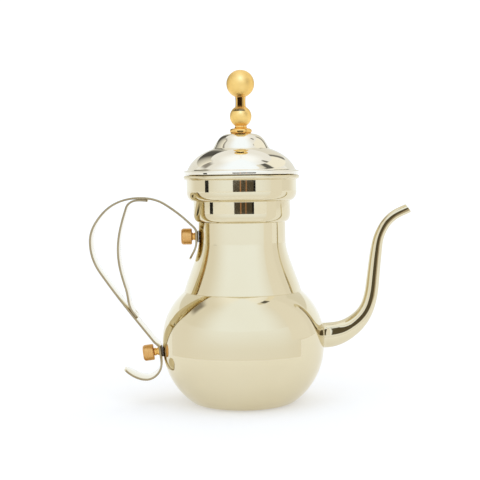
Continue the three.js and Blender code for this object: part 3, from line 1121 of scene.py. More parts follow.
@dataclass
class Spout:
    """The long tapered spout, let into the body by a small solder fillet.

    Attributes:
        vessel: The vessel it stands on.
        wall: The tube's thickness.
        root_rings: How far each ring of the root's fillet lies off the body and spreads.
        root_step: How far apart the rings are drawn before they are laid on the body.
        lip: The rounding of the mouth's edges.
        sides: Faces round the tube.
        mouth_slant: The angle of the cut mouth, in degrees.
    """

    vessel: Vessel
    wall: float = 0.8 * MM
    root_rings: tuple[tuple[float, float], ...] = (
        (0.04 * MM, 0.8 * MM),
        (0.14 * MM, 0.42 * MM),
        (0.42 * MM, 0.14 * MM),
        (0.85 * MM, 0.02 * MM),
    )
    root_step: float = 0.45 * MM
    lip: float = 0.22 * MM
    sides: int = 64
    mouth_slant: float = 10.0

    def knots(self) -> list[Knot]:
        """Sets out the spout's centre line.

        Returns:
            Its knots, out from just clear of the body, with the tube's radius at each.
        """
        rows = [
            (2, 0, 4, 8.6),
            (19.5, 6.2, 36, 6.7),
            (31, 21.8, 72, 4.8),
            (34.4, 42, 83.5, 4.35),
            (36, 55.6, 82, 4.05),
            (39.5, 70.1, 65, 3.4),
            (46.9, 80.1, 40, 3.25),
            (58.3, 86.1, 25, 3.25),
        ]
        start = self.vessel.radius
        return [
            Knot(start + x * MM, self.vessel.spout_height + z * MM, heading, radius * MM)
            for x, z, heading, radius in rows
        ]

    def radius_at(self, line: BentLine, length: float) -> float:
        """Works out the tube's outer radius, which changes smoothly between the knots.

        Args:
            line: The tube's centre line.
            length: The length along it.

        Returns:
            The radius there.
        """
        marks, radii = line.marks, [k.radius for k in line.knots]
        slopes = [0.0] * len(marks)
        for i in range(1, len(marks) - 1):
            before = (radii[i] - radii[i - 1]) / (marks[i] - marks[i - 1])
            after = (radii[i + 1] - radii[i]) / (marks[i + 1] - marks[i])
            slopes[i] = 0.0 if before * after <= 0 else 2 * before * after / (before + after)
        i = max(0, min(sum(1 for m in marks if m < length) - 1, len(marks) - 2))
        span = marks[i + 1] - marks[i]
        t = (length - marks[i]) / span
        return (
            (1 + 2 * t) * (1 - t) ** 2 * radii[i]
            + t * (1 - t) ** 2 * span * slopes[i]
            + t * t * (3 - 2 * t) * radii[i + 1]
            + t * t * (t - 1) * span * slopes[i + 1]
        )

    def make_tube(self) -> bpy.types.Object:
        """Draws a ring along the line, thickens it inwards and cuts it at a slant.

        Returns:
            The tube.
        """
        line = BentLine(self.knots(), turn_per_step=1.0)
        first = line.knots[0]
        root = [
            Station(first.point - Vector((self.root_step * i, 0, 0)), 0.0, 0.0)
            for i in range(len(self.root_rings), 0, -1)
        ]
        stations = root + line.stations
        radii = [first.radius] * len(root)
        radii += [self.radius_at(line, s.length) for s in line.stations]
        clear_selection()
        bpy.ops.mesh.primitive_circle_add(
            vertices=self.sides, radius=radii[0], location=stations[0].point, rotation=(0, math.pi / 2, 0)
        )
        tube = bpy.context.object
        tube.name = tube.data.name = "spout_tube"
        into_place(tube)
        bpy.ops.object.mode_set(mode="EDIT")
        bpy.ops.mesh.select_all(action="SELECT")
        factors = [(b / a,) * 3 for a, b in zip(radii, radii[1:])]
        drawn_along(stations, factors)
        last = stations[-1]
        overrun = {"value": tuple(pointing(last.heading) * 3 * MM)}
        bpy.ops.mesh.extrude_region_move(TRANSFORM_OT_translate=overrun)
        bpy.ops.object.mode_set(mode="OBJECT")
        self.meet_body(tube)
        bpy.ops.object.mode_set(mode="EDIT")
        self.cut_mouth(last)
        bpy.ops.mesh.select_all(action="SELECT")
        bpy.ops.mesh.normals_make_consistent(inside=False)
        bpy.ops.object.mode_set(mode="OBJECT")
        pick(tube)
        apply_modifier(tube, "wall", "SOLIDIFY", thickness=self.wall, offset=-1.0)
        round_edges(tube, self.lip, 50)
        smooth(tube, 60)
        return tube

    def cut_mouth(self, last: Station) -> None:
        """Cuts the tube's end off at a slant, in edit mode.

        Args:
            last: The station where the line ends.
        """
        bpy.ops.mesh.select_all(action="SELECT")
        bpy.ops.mesh.bisect(
            plane_co=last.point,
            plane_no=pointing(last.heading + self.mouth_slant),
            clear_outer=True,
        )

    def meet_body(self, tube: bpy.types.Object) -> None:
        """Lays the tube's first rings on the body, spread out as a fillet of solder.

        Args:
            tube: The tube.
        """
        centre = self.vessel.spout_height
        for ring, (lift, spread) in enumerate(self.root_rings):
            for vertex in tube.data.vertices[ring * self.sides : (ring + 1) * self.sides]:
                side = Vector((0.0, vertex.co.y, vertex.co.z - centre))
                side += side.normalized() * spread
                radius = self.vessel.bulb_radius_at(centre + side.z)
                reach = math.sqrt(radius**2 - side.y**2)
                vertex.co = Vector((reach + lift, side.y, centre + side.z))

    def build(self, polish: bpy.types.Material) -> None:
        """Builds and dresses the spout."""
        finish_piece(self.make_tube(), Body.POT, Slot.BODY, polish, "spout")


@dataclass
class Fixing:
    """One screwed fixing of the handle: spacer, boss and cap nut on a stud.

    Attributes:
        level: Which of the two it is.
        cap_body: The body of its cap nut.
        sides: Steps round the stud.
        stud_radius: The stud's radius.
        thread_gap: How much wider than the stud the bores are.
        bead: How far the beads of the boss stand out.
        groove: Half the width of the groove between them.
        chamfer: The width of the cap nut's chamfer.
        crown: The thickness of its closed end.
        shoulder: The bevel at its open end.
        scribed: The depth of the fine line round it.
        dimple: The depth of the hollow in its crown.
        lead_in: The bevel of its bore.
    """

    level: Level
    cap_body: Body
    sides: int = 96
    stud_radius: float = 2.0 * MM
    thread_gap: float = 0.15 * MM
    bead: float = 0.45 * MM
    groove: float = 0.22 * MM
    chamfer: float = 1.15 * MM
    crown: float = 1.3 * MM
    shoulder: float = 0.5 * MM
    scribed: float = 0.12 * MM
    dimple: float = 0.25 * MM
    lead_in: float = 0.3 * MM

    def __post_init__(self) -> None:
        """Reads the stud's line from the cap nut's joint."""
        joint = next(j for j in frame["joints"] if j["child"] == self.cap_body.value)
        self.wall = Vector(joint["pos_m"])
        self.outward = Vector(joint["axis"]).normalized()
        self.bore = self.stud_radius + self.thread_gap

    def node(self, part: str) -> str:
        """The name of one of the fixing's CAD nodes."""
        return f"{self.level.value}_{part}"

    def span(self, part: str) -> tuple[float, float, float]:
        """Measures one of the fixing's CAD nodes.

        Args:
            part: The last part of the node's name.

        Returns:
            Where it starts and ends along the stud, and its radius.
        """
        points = [v.co - self.wall for v in frame["nodes"][self.node(part)].data.vertices]
        along = [p.dot(self.outward) for p in points]
        radius = max((p - self.outward * p.dot(self.outward)).length for p in points)
        return min(along), max(along), radius

    @property
    def seat(self) -> Vector:
        """The middle of the handle strip where the fixing holds it."""
        spacer_end, boss_start = self.span("spacer")[1], self.span("boss")[0]
        return self.wall + self.outward * (spacer_end + boss_start) / 2

    def on_stud(self, piece: bpy.types.Object) -> bpy.types.Object:
        """Puts a piece made about +Z on to the stud."""
        return standing_on(piece, self.wall, self.outward)

    def make_spacer(self) -> bpy.types.Object:
        """Turns the washer between the pot and the strip; its dark finish is partly painted shade of the
        gap.

        Returns:
            The washer.
        """
        start, end, radius = self.span("spacer")
        loop = [(self.bore, start), (radius, start), (radius, end), (self.bore, end)]
        return self.on_stud(turned(self.node("washer"), eased(loop, SOFT, True), self.sides))

    def make_boss(self) -> bpy.types.Object:
        """Turns the polished collar: two rounded beads with a groove between them.

        Returns:
            The collar.
        """
        start, end, radius = self.span("boss")
        middle = (start + end) / 2
        inset = radius - self.bead
        lower = bulge((inset, start), self.bead, middle - self.groove - start, 12)
        upper = bulge((inset, middle + self.groove), self.bead, end - middle - self.groove, 12)
        loop = [(self.bore, start)] + lower + upper + [(self.bore, end)]
        return self.on_stud(turned(self.node("collar"), without_repeats(loop), self.sides))

    def make_cap(self) -> bpy.types.Object:
        """Turns the cap nut: a drum with a chamfered crown and a blind bore.

        Returns:
            The cap nut.
        """
        start, end, radius = self.span("cap_nut")
        bore, chamfer, line, dimple = self.bore, self.chamfer, self.scribed, self.dimple
        outline = [
            (0.0, end - self.crown),
            (bore, end - self.crown),
            (bore, start + self.lead_in),
            (bore + self.lead_in, start),
            (radius - self.shoulder, start),
            (radius, start + self.shoulder),
            (radius, end - chamfer - 2 * line),
            (radius - line, end - chamfer - line),
            (radius - line / 2, end - chamfer),
            (radius - 0.4 * chamfer, end - 0.42 * chamfer),
            (radius - chamfer, end),
            (radius - chamfer - 0.8 * MM, end),
            (radius - chamfer - 1.0 * MM, end - dimple),
            (0.0, end - dimple * 0.6),
        ]
        piece = turned(self.node("cap"), eased(outline, 0.16 * MM, False), self.sides, closed=False)
        return self.on_stud(piece)

    def build(self, trim: bpy.types.Material, dark: bpy.types.Material) -> None:
        """Builds and dresses the fixing.

        Args:
            trim: The polished gold material.
            dark: The dark material of the spacer, partly painted shade of the gap between pot and strip.
        """
        cap = replace(CAP_BRASS, name=self.node("cap_brushed"), axis=tuple(self.outward)).make()
        # The spacer's dark finish is partly painted shade of the gap between pot and strip.
        finish_piece(self.make_spacer(), Body.POT, Slot.SPACER, dark, self.node("spacer"))
        finish_piece(self.make_boss(), Body.POT, Slot.TRIM, trim, self.node("boss"))
        finish_piece(self.make_cap(), self.cap_body, Slot.CAP, cap, self.node("cap_nut"))

    def dress_stud(self) -> None:
        """Gives the CAD stud, which stays as it is, a turned-steel material."""
        steel = replace(STUD_STEEL, name=self.node("stud_steel"), axis=tuple(self.outward)).make()
        stud = frame["nodes"][self.node("stud")]
        stud.data.materials.clear()
        stud.data.materials.append(steel)


@dataclass
class Handle:
    """The bent main strip and the inner brace welded to it.

    Attributes:
        upper: The upper fixing.
        lower: The lower fixing.
        width: The strips' width.
        thickness: The strips' thickness.
        end_round: The corner radius of the main strip's ends, seen from above.
        brace_end_round: The same of the brace's ends.
        edge_round: The rounding of the long edges.
        cut_round: The rounding of the cut ends' edges.
        reach: How far out the main strip's middle line goes.
        crest: How far out and up the crest lies from the upper seat.
        brace_reach: How far out the brace goes.
        seat_half: Half the straight length at each seat.
        weld_gap: The gap between strip and brace where they lie on each other.
        weld_size: The radius and height of a spot weld's dimple.
        weld_place: How far a spot weld lies from the brace's end and from its middle.
    """

    upper: Fixing
    lower: Fixing
    width: float = 20 * MM
    thickness: float = 1.4 * MM
    end_round: float = 8.5 * MM
    brace_end_round: float = 2.0 * MM
    edge_round: float = 0.32 * MM
    cut_round: float = 0.25 * MM
    reach: float = 102.0 * MM
    crest: tuple[float, float] = (38 * MM, 26.6 * MM)
    brace_reach: float = 83.5 * MM
    seat_half: float = 3.0 * MM
    weld_gap: float = 0.15 * MM
    weld_size: Spot = (1.5 * MM, 0.22 * MM)
    weld_place: Spot = (3.2 * MM, 4.6 * MM)

    def strip_knots(self) -> list[Knot]:
        """Sets out the main strip.

        Returns:
            Its knots, from the tail above to the curled tail below.
        """
        top, low = self.upper.seat, self.lower.seat
        low_heading = 270 + math.degrees(math.asin(-self.lower.outward.z))
        along = pointing(low_heading)
        half = self.seat_half
        return [
            Knot(top.x - 4.7 * MM, top.z - 15.6 * MM, 69),
            Knot(top.x, top.z - half, 90),
            Knot(top.x, top.z + half, 90),
            Knot(top.x - 4.4 * MM, top.z + 9.3 * MM, 136),
            Knot(top.x - 20.3 * MM, top.z + 21.9 * MM, 147),
            Knot(top.x - self.crest[0], top.z + self.crest[1], 180),
            Knot(-self.reach + 8.2 * MM, top.z + 16.1 * MM, 229),
            Knot(-self.reach, top.z - 2.4 * MM, 270),
            Knot(-self.reach + 6.9 * MM, top.z - 23.8 * MM, 304),
            Knot(low.x - 4.3 * MM, low.z + 7.9 * MM, 308),
            Knot(low.x - along.x * half, low.z - along.z * half, low_heading),
            Knot(low.x + along.x * half, low.z + along.z * half, low_heading),
            Knot(low.x + 0.6 * MM, low.z - 8.6 * MM, 263),
            Knot(low.x - 9.5 * MM, low.z - 17.9 * MM, 180),
            Knot(low.x - 24.8 * MM, low.z - 11.6 * MM, 152),
        ]

    def beside(self, line: BentLine, length: float) -> Knot:
        """Sets out the brace where it lies on the main strip.

        Args:
            line: The main strip's line.
            length: The length along it.

        Returns:
            The brace's knot there.
        """
        station = line.at(length)
        apart = left_of(pointing(station.heading)) * (self.thickness + self.weld_gap)
        place = station.point + apart
        return Knot(place.x, place.z, station.heading % 360)

    def brace_knots(self, line: BentLine) -> list[Knot]:
        """Sets out the brace.

        Args:
            line: The main strip's line.

        Returns:
            Its knots, from the weld under the crest to the weld on the lower run.
        """
        top, low = self.upper.seat, self.lower.seat
        crest_x = top.x - self.crest[0]
        crest, outermost, lower_run = (line.marks[i] for i in (5, 7, 9))
        start = line.nearest_x(crest_x + 6.1 * MM, 0.5 * crest, crest)
        leave = line.nearest_x(crest_x - 1.5 * MM, crest, outermost)
        foot = line.nearest_x(low.x - 16.0 * MM, outermost, lower_run)
        return [
            self.beside(line, start),
            self.beside(line, leave),
            Knot(-self.brace_reach + 5.9 * MM, top.z + 20.2 * MM, 252),
            Knot(-self.brace_reach, top.z - 8.7 * MM, 270),
            Knot(-self.brace_reach + 4.8 * MM, top.z - 33.8 * MM, 287),
            self.beside(line, foot - 4.5 * MM),
            self.beside(line, foot),
        ]

    def end_stations(self, line: BentLine, corner: float) -> list[Station]:
        """Picks the stations that a strip is drawn along, more of them where its ends are rounded.

        Args:
            line: The strip's line.
            corner: The radius of its end corners.

        Returns:
            The stations in order.
        """
        near = [corner * (1 - math.cos(a)) for a in even(0.0, math.pi / 2, 12)]
        clear = corner + 0.4 * MM
        middle = [s for s in line.stations if clear < s.length < line.length - clear]
        ends = [line.at(s) for s in near], [line.at(line.length - s) for s in reversed(near)]
        return ends[0] + middle + ends[1]

    def width_at(self, line: BentLine, length: float, corner: float) -> float:
        """Works out a strip's width, narrower towards its rounded ends.

        Args:
            line: The strip's line.
            length: The length along it.
            corner: The radius of its end corners.

        Returns:
            The width there.
        """
        from_end = max(0.0, min(length, line.length - length, corner))
        inset = corner - math.sqrt(max(corner**2 - (corner - from_end) ** 2, 0.0))
        return self.width - 2 * inset

    def make_strip(self, name: str, line: BentLine, corner: float) -> bpy.types.Object:
        """A flat strip with eased edges drawn along a line.

        Args:
            name: The piece's name.
            line: Its middle line.
            corner: The radius of its end corners.

        Returns:
            The finished strip.
        """
        stations = self.end_stations(line, corner)
        widths = [self.width_at(line, s.length, corner) for s in stations]
        first = stations[0]
        clear_selection()
        bpy.ops.mesh.primitive_plane_add(size=1.0)
        strip = bpy.context.object
        strip.name = strip.data.name = name
        strip.scale = (self.thickness, self.width, 1.0)
        into_place(strip)
        bpy.ops.object.mode_set(mode="EDIT")
        bpy.ops.mesh.select_all(action="SELECT")
        bpy.ops.mesh.bevel(offset=self.edge_round, segments=4, affect="VERTICES")
        bpy.ops.object.mode_set(mode="OBJECT")
        strip.scale = (1.0, widths[0] / self.width, 1.0)
        strip.rotation_euler = (0.0, math.radians(90 - first.heading), 0.0)
        strip.location = first.point
        into_place(strip)
        bpy.ops.object.mode_set(mode="EDIT")
        bpy.ops.mesh.select_all(action="SELECT")
        drawn_along(stations, [(1.0, b / a, 1.0) for a, b in zip(widths, widths[1:])])
        bpy.ops.mesh.select_all(action="SELECT")
        bpy.ops.mesh.normals_make_consistent(inside=False)
        bpy.ops.object.mode_set(mode="OBJECT")
        pick(strip)
        round_edges(strip, self.cut_round, 60)
        return strip

    def make_welds(self, line: BentLine) -> bpy.types.Object:
        """Makes the spot-weld dimples that show where the brace is held to the strip.

        Args:
            line: The main strip's line.

        Returns:
            The dimples as one piece.
        """
        knots = self.brace_knots(line)
        from_end, from_middle = self.weld_place
        spots = []
        for knot, along in ((knots[0], from_end), (knots[-1], -from_end)):
            inward = left_of(pointing(knot.heading))
            place = knot.point + pointing(knot.heading) * along
            for side in (-from_middle, from_middle):
                spots.append((place + Vector((0, side, 0)), inward))
        radius, height = self.weld_size
        dome = [(radius * math.sin(a), height * math.cos(a)) for a in even(0.0, math.pi / 2, 8)]
        outline = [(0.0, -0.3 * MM), (radius, -0.3 * MM)] + dome[::-1]
        made = []
        for i, (spot, inward) in enumerate(spots):
            piece = turned(f"weld_{i}", without_repeats(outline), 32, closed=False)
            made.append(standing_on(piece, spot + inward * self.thickness / 2, inward))
        pick(*made)
        bpy.ops.object.join()
        made[0].name = made[0].data.name = "spot_welds"
        return made[0]

    def build(self, polish: bpy.types.Material) -> None:
        """Builds and dresses the handle.

        Args:
            polish: The material of the strips' faces.
        """
        line = BentLine(self.strip_knots())
        strip = self.make_strip("outer_strip", line, self.end_round)
        for fixing in (self.upper, self.lower):
            drilled(strip, fixing.wall, fixing.outward, fixing.bore, 8 * MM)
        brace_line = BentLine(self.brace_knots(line))
        brace = self.make_strip("inner_strip", brace_line, self.brace_end_round)
        edge = CUT_EDGE.make()
        for piece, node in ((strip, "handle_strip"), (brace, "handle_brace")):
            smooth(piece, 35)
            piece.data.materials.append(polish)
            piece.data.materials.append(edge)
            for face in piece.data.polygons:
                face.material_index = 1 if abs(face.normal.y) > 0.5 else 0
            finish_piece(piece, Body.POT, Slot.BODY, polish, node)
        finish_piece(self.make_welds(line), Body.POT, Slot.BODY, polish)


@dataclass
class Lid:
    """The two-step lid with its centring skirt and ball finial.

    Attributes:
        wall: The lid sheet's thickness.
        flange_height: The height of the turned-down edge.
        flange_step: How far in and up the dome starts.
        lower_dome: The height of the lower dome.
        tier_radius: The radius of the step between the domes.
        upper_dome: The height of the upper dome.
        edge_round: The rounding of the edge's foot.
        flange_round: The rounding of the edge's top.
        rod_bore: The radius of the hole for the finial's rod.
        skirt_wall: The skirt's thickness.
        bead: How far the skirt's bead stands out.
        sides: Steps round the axis.
    """

    wall: float = 0.9 * MM
    flange_height: float = 2.7 * MM
    flange_step: tuple[float, float] = (2.8 * MM, 1.3 * MM)
    lower_dome: float = 13.4 * MM
    tier_radius: float = 19.2 * MM
    upper_dome: float = 10.1 * MM
    edge_round: float = 0.35 * MM
    flange_round: float = 1 * MM
    rod_bore: float = 1.65 * MM
    skirt_wall: float = 0.8 * MM
    bead: float = 0.25 * MM
    sides: int = 192

    def outline(self) -> Outline:
        """Draws the outside of the lid.

        Returns:
            Its outline, from the bottom of its edge up to the finial.
        """
        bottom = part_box("lid_dome")[0].z
        radius = radius_of("lid_dome")
        seat_radius = radius_of("finial_base_ring")
        flange_top = bottom + self.flange_height
        foot = (radius - self.flange_step[0], flange_top + self.flange_step[1])
        tier = (self.tier_radius, foot[1] + self.lower_dome)
        top = tier[1] + self.upper_dome
        shoulder = [(0.86 * tier[0], tier[1] + 4.2 * MM), (0.78 * tier[0], top - 0.4 * MM)]
        belly = (foot[0] - 0.26 * (foot[0] - tier[0]), foot[1] + 0.68 * self.lower_dome)
        foot_edge = [
            (radius - self.edge_round, bottom),
            (radius, bottom),
            (radius, bottom + self.edge_round),
        ]
        top_edge = [
            (radius, flange_top - self.flange_round),
            (radius, flange_top),
            (radius - self.flange_round, flange_top),
        ]
        valley = [top_edge[-1], (foot[0] + 0.35 * MM, flange_top + 0.1 * MM), foot]
        return without_repeats(
            bezier(foot_edge, 4)
            + bezier(top_edge, 8)
            + bezier(valley, 6)
            + bezier([foot, belly, tier], 30)
            + bezier([tier, *shoulder, (seat_radius, top)], 26)
        )

    def make_dome(self) -> bpy.types.Object:
        """Spins the lid's sheet.

        Returns:
            The lid without its skirt.
        """
        outer = self.outline()
        inner = moved_sideways(outer, self.wall)
        bottom, top = outer[0][1], outer[-1][1]
        inner = [(outer[0][0] - 0.4 * MM, bottom)] + [p for p in inner[8:] if p[1] > bottom + 0.3 * MM]
        inner[-1] = (inner[-1][0], top - self.wall)
        loop = outer + [(self.rod_bore, top), (self.rod_bore, top - self.wall)] + inner[::-1]
        return turned("lid_shell", without_repeats(loop), self.sides, sharpest=28)

    def make_skirt(self) -> bpy.types.Object:
        """Spins the ring that centres the lid, with a bead rolled near its lower edge.

        Returns:
            The skirt.
        """
        low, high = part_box("lid_skirt")
        outside = high.x - self.bead
        inside = high.x - self.skirt_wall
        middle = low.z + 2.2 * MM
        outer = [(outside, low.z), (outside, middle - 0.8 * MM)]
        swell = bulge((outside, middle - 0.6 * MM), self.bead, 1.2 * MM, 10)
        rest = [(outside, high.z), (inside, high.z), (inside, low.z)]
        return turned("lid_ring", eased(outer + swell + rest, CRISP, True), self.sides)

    def build(self) -> None:
        """Builds and dresses the lid."""
        silver = LID_SILVER.make()
        finish_piece(self.make_dome(), Body.LID, Slot.LID, silver, "lid_dome")
        finish_piece(self.make_skirt(), Body.LID, Slot.LID, silver, "lid_skirt")


@dataclass
class Finial:
    """The finial: base ring, small ball, slim neck and large ball, held by a rod and a nut.

    Attributes:
        bore: The radius of the hole for the rod.
        small_radius: The radius of the small ball.
        ring_bead: How far the base ring's bead stands out and its height.
        collar_radius: The radius of the collar above the ring.
        neck_bead: How far the beads of the neck stand out and their height.
        thread_pitch: The pitch of the rod's thread.
        thread_depth: Its depth.
        nut_chamfer: The share of the nut's radius that its chamfer leaves, and its height.
        sides: Steps round the axis.
    """

    bore: float = 1.65 * MM
    small_radius: float = 7.3 * MM
    ring_bead: Spot = (1.7 * MM, 3.4 * MM)
    collar_radius: float = 4.1 * MM
    neck_bead: Spot = (0.2 * MM, 0.55 * MM)
    thread_pitch: float = 0.5 * MM
    thread_depth: float = 0.3 * MM
    nut_chamfer: Spot = (0.86, 0.32 * MM)
    sides: int = 128

    def make_base_ring(self) -> bpy.types.Object:
        """Turns the polished ring with its collar: a fat bead, a hollow neck and a small bead.

        Returns:
            The ring.
        """
        low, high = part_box("finial_base_ring")
        width, height = self.ring_bead
        collar, shelf = self.collar_radius, low.z + height
        lip_width, lip_height = 0.25 * MM, 0.5 * MM
        lip_foot = high.z - lip_height
        hollow = [
            (collar + 0.9 * MM, shelf),
            (collar - 0.35 * MM, shelf + 0.7 * MM),
            (collar, lip_foot),
        ]
        loop = [(self.bore, low.z)]
        loop += bulge((high.x - width, low.z), width, height, 22)
        loop += bezier(hollow, 12)
        loop += bulge((collar - lip_width, lip_foot), lip_width, lip_height, 6)
        loop += [(self.bore, high.z)]
        return turned("finial_ring", without_repeats(loop), self.sides)

    def make_lower_ball(self) -> bpy.types.Object:
        """Turns the small ball, with a flat below and above.

        Returns:
            The small ball.
        """
        low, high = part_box("finial_lower_ball")
        radius = self.small_radius
        middle = low.z + math.sqrt(radius**2 - self.collar_radius**2)
        start = math.asin(self.collar_radius / radius)
        end = math.pi - math.asin(radius_of("finial_neck") / radius)
        side = ball_side(radius, middle, (start, end), 56)
        loop = side + [(self.bore, high.z), (self.bore, low.z)]
        return turned("small_ball", eased(loop, SOFT, True), self.sides)

    def make_neck(self) -> bpy.types.Object:
        """Turns the slim neck, very slightly waisted, with a thin bead at each end.

        Returns:
            The neck.
        """
        low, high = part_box("finial_neck")
        radius = high.x
        width, height = self.neck_bead
        end_radius = radius - 0.12 * MM
        waist = [
            (end_radius, low.z + height),
            (radius - 0.3 * MM, (low.z + high.z) / 2),
            (end_radius, high.z - height),
        ]
        loop = [(self.bore, low.z)] + bulge((radius - width, low.z), width, height, 8)
        loop += bezier(waist, 16)
        loop += bulge((radius - width, high.z - height), width, height, 8) + [(self.bore, high.z)]
        return turned("finial_stem", without_repeats(loop), self.sides)

    def make_top_ball(self) -> bpy.types.Object:
        """Turns the large ball with its blind hole for the rod.

        Returns:
            The large ball.
        """
        low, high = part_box("finial_top_ball")
        height = high.z - low.z
        flat = radius_of("finial_neck")
        radius = (height**2 + flat**2) / (2 * height)
        side = ball_side(radius, high.z - radius, (math.asin(flat / radius), math.pi), 64)
        side[-1] = (0.0, side[-1][1])
        hole_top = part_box("finial_rod")[1].z + 0.15 * MM
        outline = [(0.0, hole_top), (self.bore, hole_top), (self.bore, low.z)] + side
        return turned("large_ball", eased(outline, SOFT, False), self.sides, closed=False)

    def make_rod(self) -> bpy.types.Object:
        """Turns the rod with its thread.

        Returns:
            The rod.
        """
        low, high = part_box("finial_rod")
        radius, root = high.x, high.x - self.thread_depth
        outline = [(0.0, low.z), (root, low.z)]
        height = low.z + 0.2 * MM
        while height < high.z - 0.2 * MM:
            outline += [(root, height), (radius, height + self.thread_pitch / 2)]
            height += self.thread_pitch
        outline += [(root, high.z), (0.0, high.z)]
        return turned("lid_rod", without_repeats(outline), 48, closed=False, sharpest=25)

    def make_washer(self) -> bpy.types.Object:
        """Turns the washer under the lid.

        Returns:
            The washer.
        """
        low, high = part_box("finial_washer")
        loop = [(self.bore, low.z), (high.x, low.z), (high.x, high.z), (self.bore, high.z)]
        return turned("lid_washer", eased(loop, 0.18 * MM, True), 72)

    def make_nut(self) -> bpy.types.Object:
        """Makes the hexagon nut, chamfered at its corners and bored for the rod.

        Returns:
            The nut.
        """
        low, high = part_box("finial_nut")
        height = high.z - low.z
        radius = max(high.x, high.y)
        middle = (0, 0, low.z + height / 2)
        clear_selection()
        bpy.ops.mesh.primitive_cylinder_add(
            vertices=6, radius=radius, depth=height, location=middle, rotation=(0, 0, math.pi / 6)
        )
        nut = bpy.context.object
        nut.name = nut.data.name = "lid_nut"
        into_place(nut)
        share, chamfer_height = self.nut_chamfer
        face, clear = radius * share, radius * 1.02
        foot, top = low.z - 0.01 * MM, high.z + 0.01 * MM
        blank = [
            (0.0, foot),
            (face, foot),
            (clear, low.z + chamfer_height),
            (clear, high.z - chamfer_height),
            (face, top),
            (0.0, top),
        ]
        chamfer = turned("chamfer", blank, 72, closed=False)
        pick(nut)
        apply_modifier(nut, "corners", "BOOLEAN", operation="INTERSECT", object=chamfer, solver="EXACT")
        bpy.data.objects.remove(chamfer)
        drilled(nut, Vector((0, 0, low.z - 1 * MM)), Vector((0, 0, 1)), self.bore, height + 2 * MM)
        smooth(nut, 25)
        return nut

    def build(self, trim: bpy.types.Material) -> None:
        """Builds and dresses the finial.

        Args:
            trim: The polished gold material.
        """
        satin, steel = BALL_GOLD.make(), TURNED_STEEL.make()
        finish_piece(self.make_base_ring(), Body.LID, Slot.TRIM, trim, "finial_base_ring")
        finish_piece(self.make_lower_ball(), Body.LID, Slot.BALL, satin, "finial_lower_ball")
        finish_piece(self.make_neck(), Body.LID, Slot.TRIM, trim, "finial_neck")
        finish_piece(self.make_top_ball(), Body.LID, Slot.BALL, satin, "finial_top_ball")
        finish_piece(self.make_rod(), Body.LID, Slot.STEEL, steel, "finial_rod")
        finish_piece(self.make_washer(), Body.LID, Slot.STEEL, steel, "finial_washer")
        finish_piece(self.make_nut(), Body.LID, Slot.STEEL, steel, "finial_nut")


# ---------------------------------------------------------------- studio


@dataclass(frozen=True)
class SkyPanel:
    """A soft-edged panel of light or shade far away in the studio.

    Attributes:
        azimuth: Its middle, in degrees from -Y towards +X.
        elevation: Its middle above the horizon, in degrees.
        half_width: Half its width in degrees.
        half_height: Half its height in degrees.
        edge: The width of its soft edge in degrees.
        light: Its colour, linear, where 1 is white paper.
    """

    azimuth: float
    elevation: float
    half_width: float
    half_height: float
    edge: float
    light: Colour


class Sky(Nodes):
    """The world's light: white all round, with panels laid over it in order."""

    def __init__(self, white: Colour) -> None:
        """Starts the world's nodes.

        Args:
            white: The light where no panel is.
        """
        world = bpy.data.worlds.new("studio")
        bpy.context.scene.world = world
        world.use_nodes = True
        super().__init__(world.node_tree)
        self.background = self.tree.nodes["Background"]
        direction = self.split(self.add("ShaderNodeTexCoord").outputs["Generated"])
        front = self.math("MULTIPLY", direction["Y"], -1.0)
        self.up = self.math("ARCSINE", direction["Z"])
        self.around = self.math("ARCTAN2", direction["X"], front)
        self.light: object = white

    def window(
        self, away: bpy.types.NodeSocket, half: float, edge: float
    ) -> bpy.types.NodeSocket:
        """1 within half a width of the middle, falling smoothly to 0 over the edge.

        Args:
            away: The angle from the middle in radians.
            half: Half the width in degrees.
            edge: The soft edge in degrees.

        Returns:
            The share, from 0 to 1.
        """
        outer, inner = math.radians(half + edge / 2), math.radians(half - edge / 2)
        return self.ramped(self.math("ABSOLUTE", away), outer, inner)

    def lay(self, panel: SkyPanel) -> None:
        """Lays a panel over the light so far.

        Args:
            panel: The panel.
        """
        aside = self.math("SUBTRACT", self.around, math.radians(panel.azimuth))
        aside = self.math("WRAP", aside, math.pi, -math.pi)
        above = self.math("SUBTRACT", self.up, math.radians(panel.elevation))
        across = self.window(aside, panel.half_width, panel.edge)
        height = self.window(above, panel.half_height, panel.edge)
        share = self.math("MULTIPLY", across, height)
        self.light = self.blend_colours(share, self.light, panel.light)

    def finish(self) -> None:
        """Feeds the light to the world."""
        self.feed(self.light, self.background.inputs["Color"])
        self.background.inputs["Strength"].default_value = 1.0


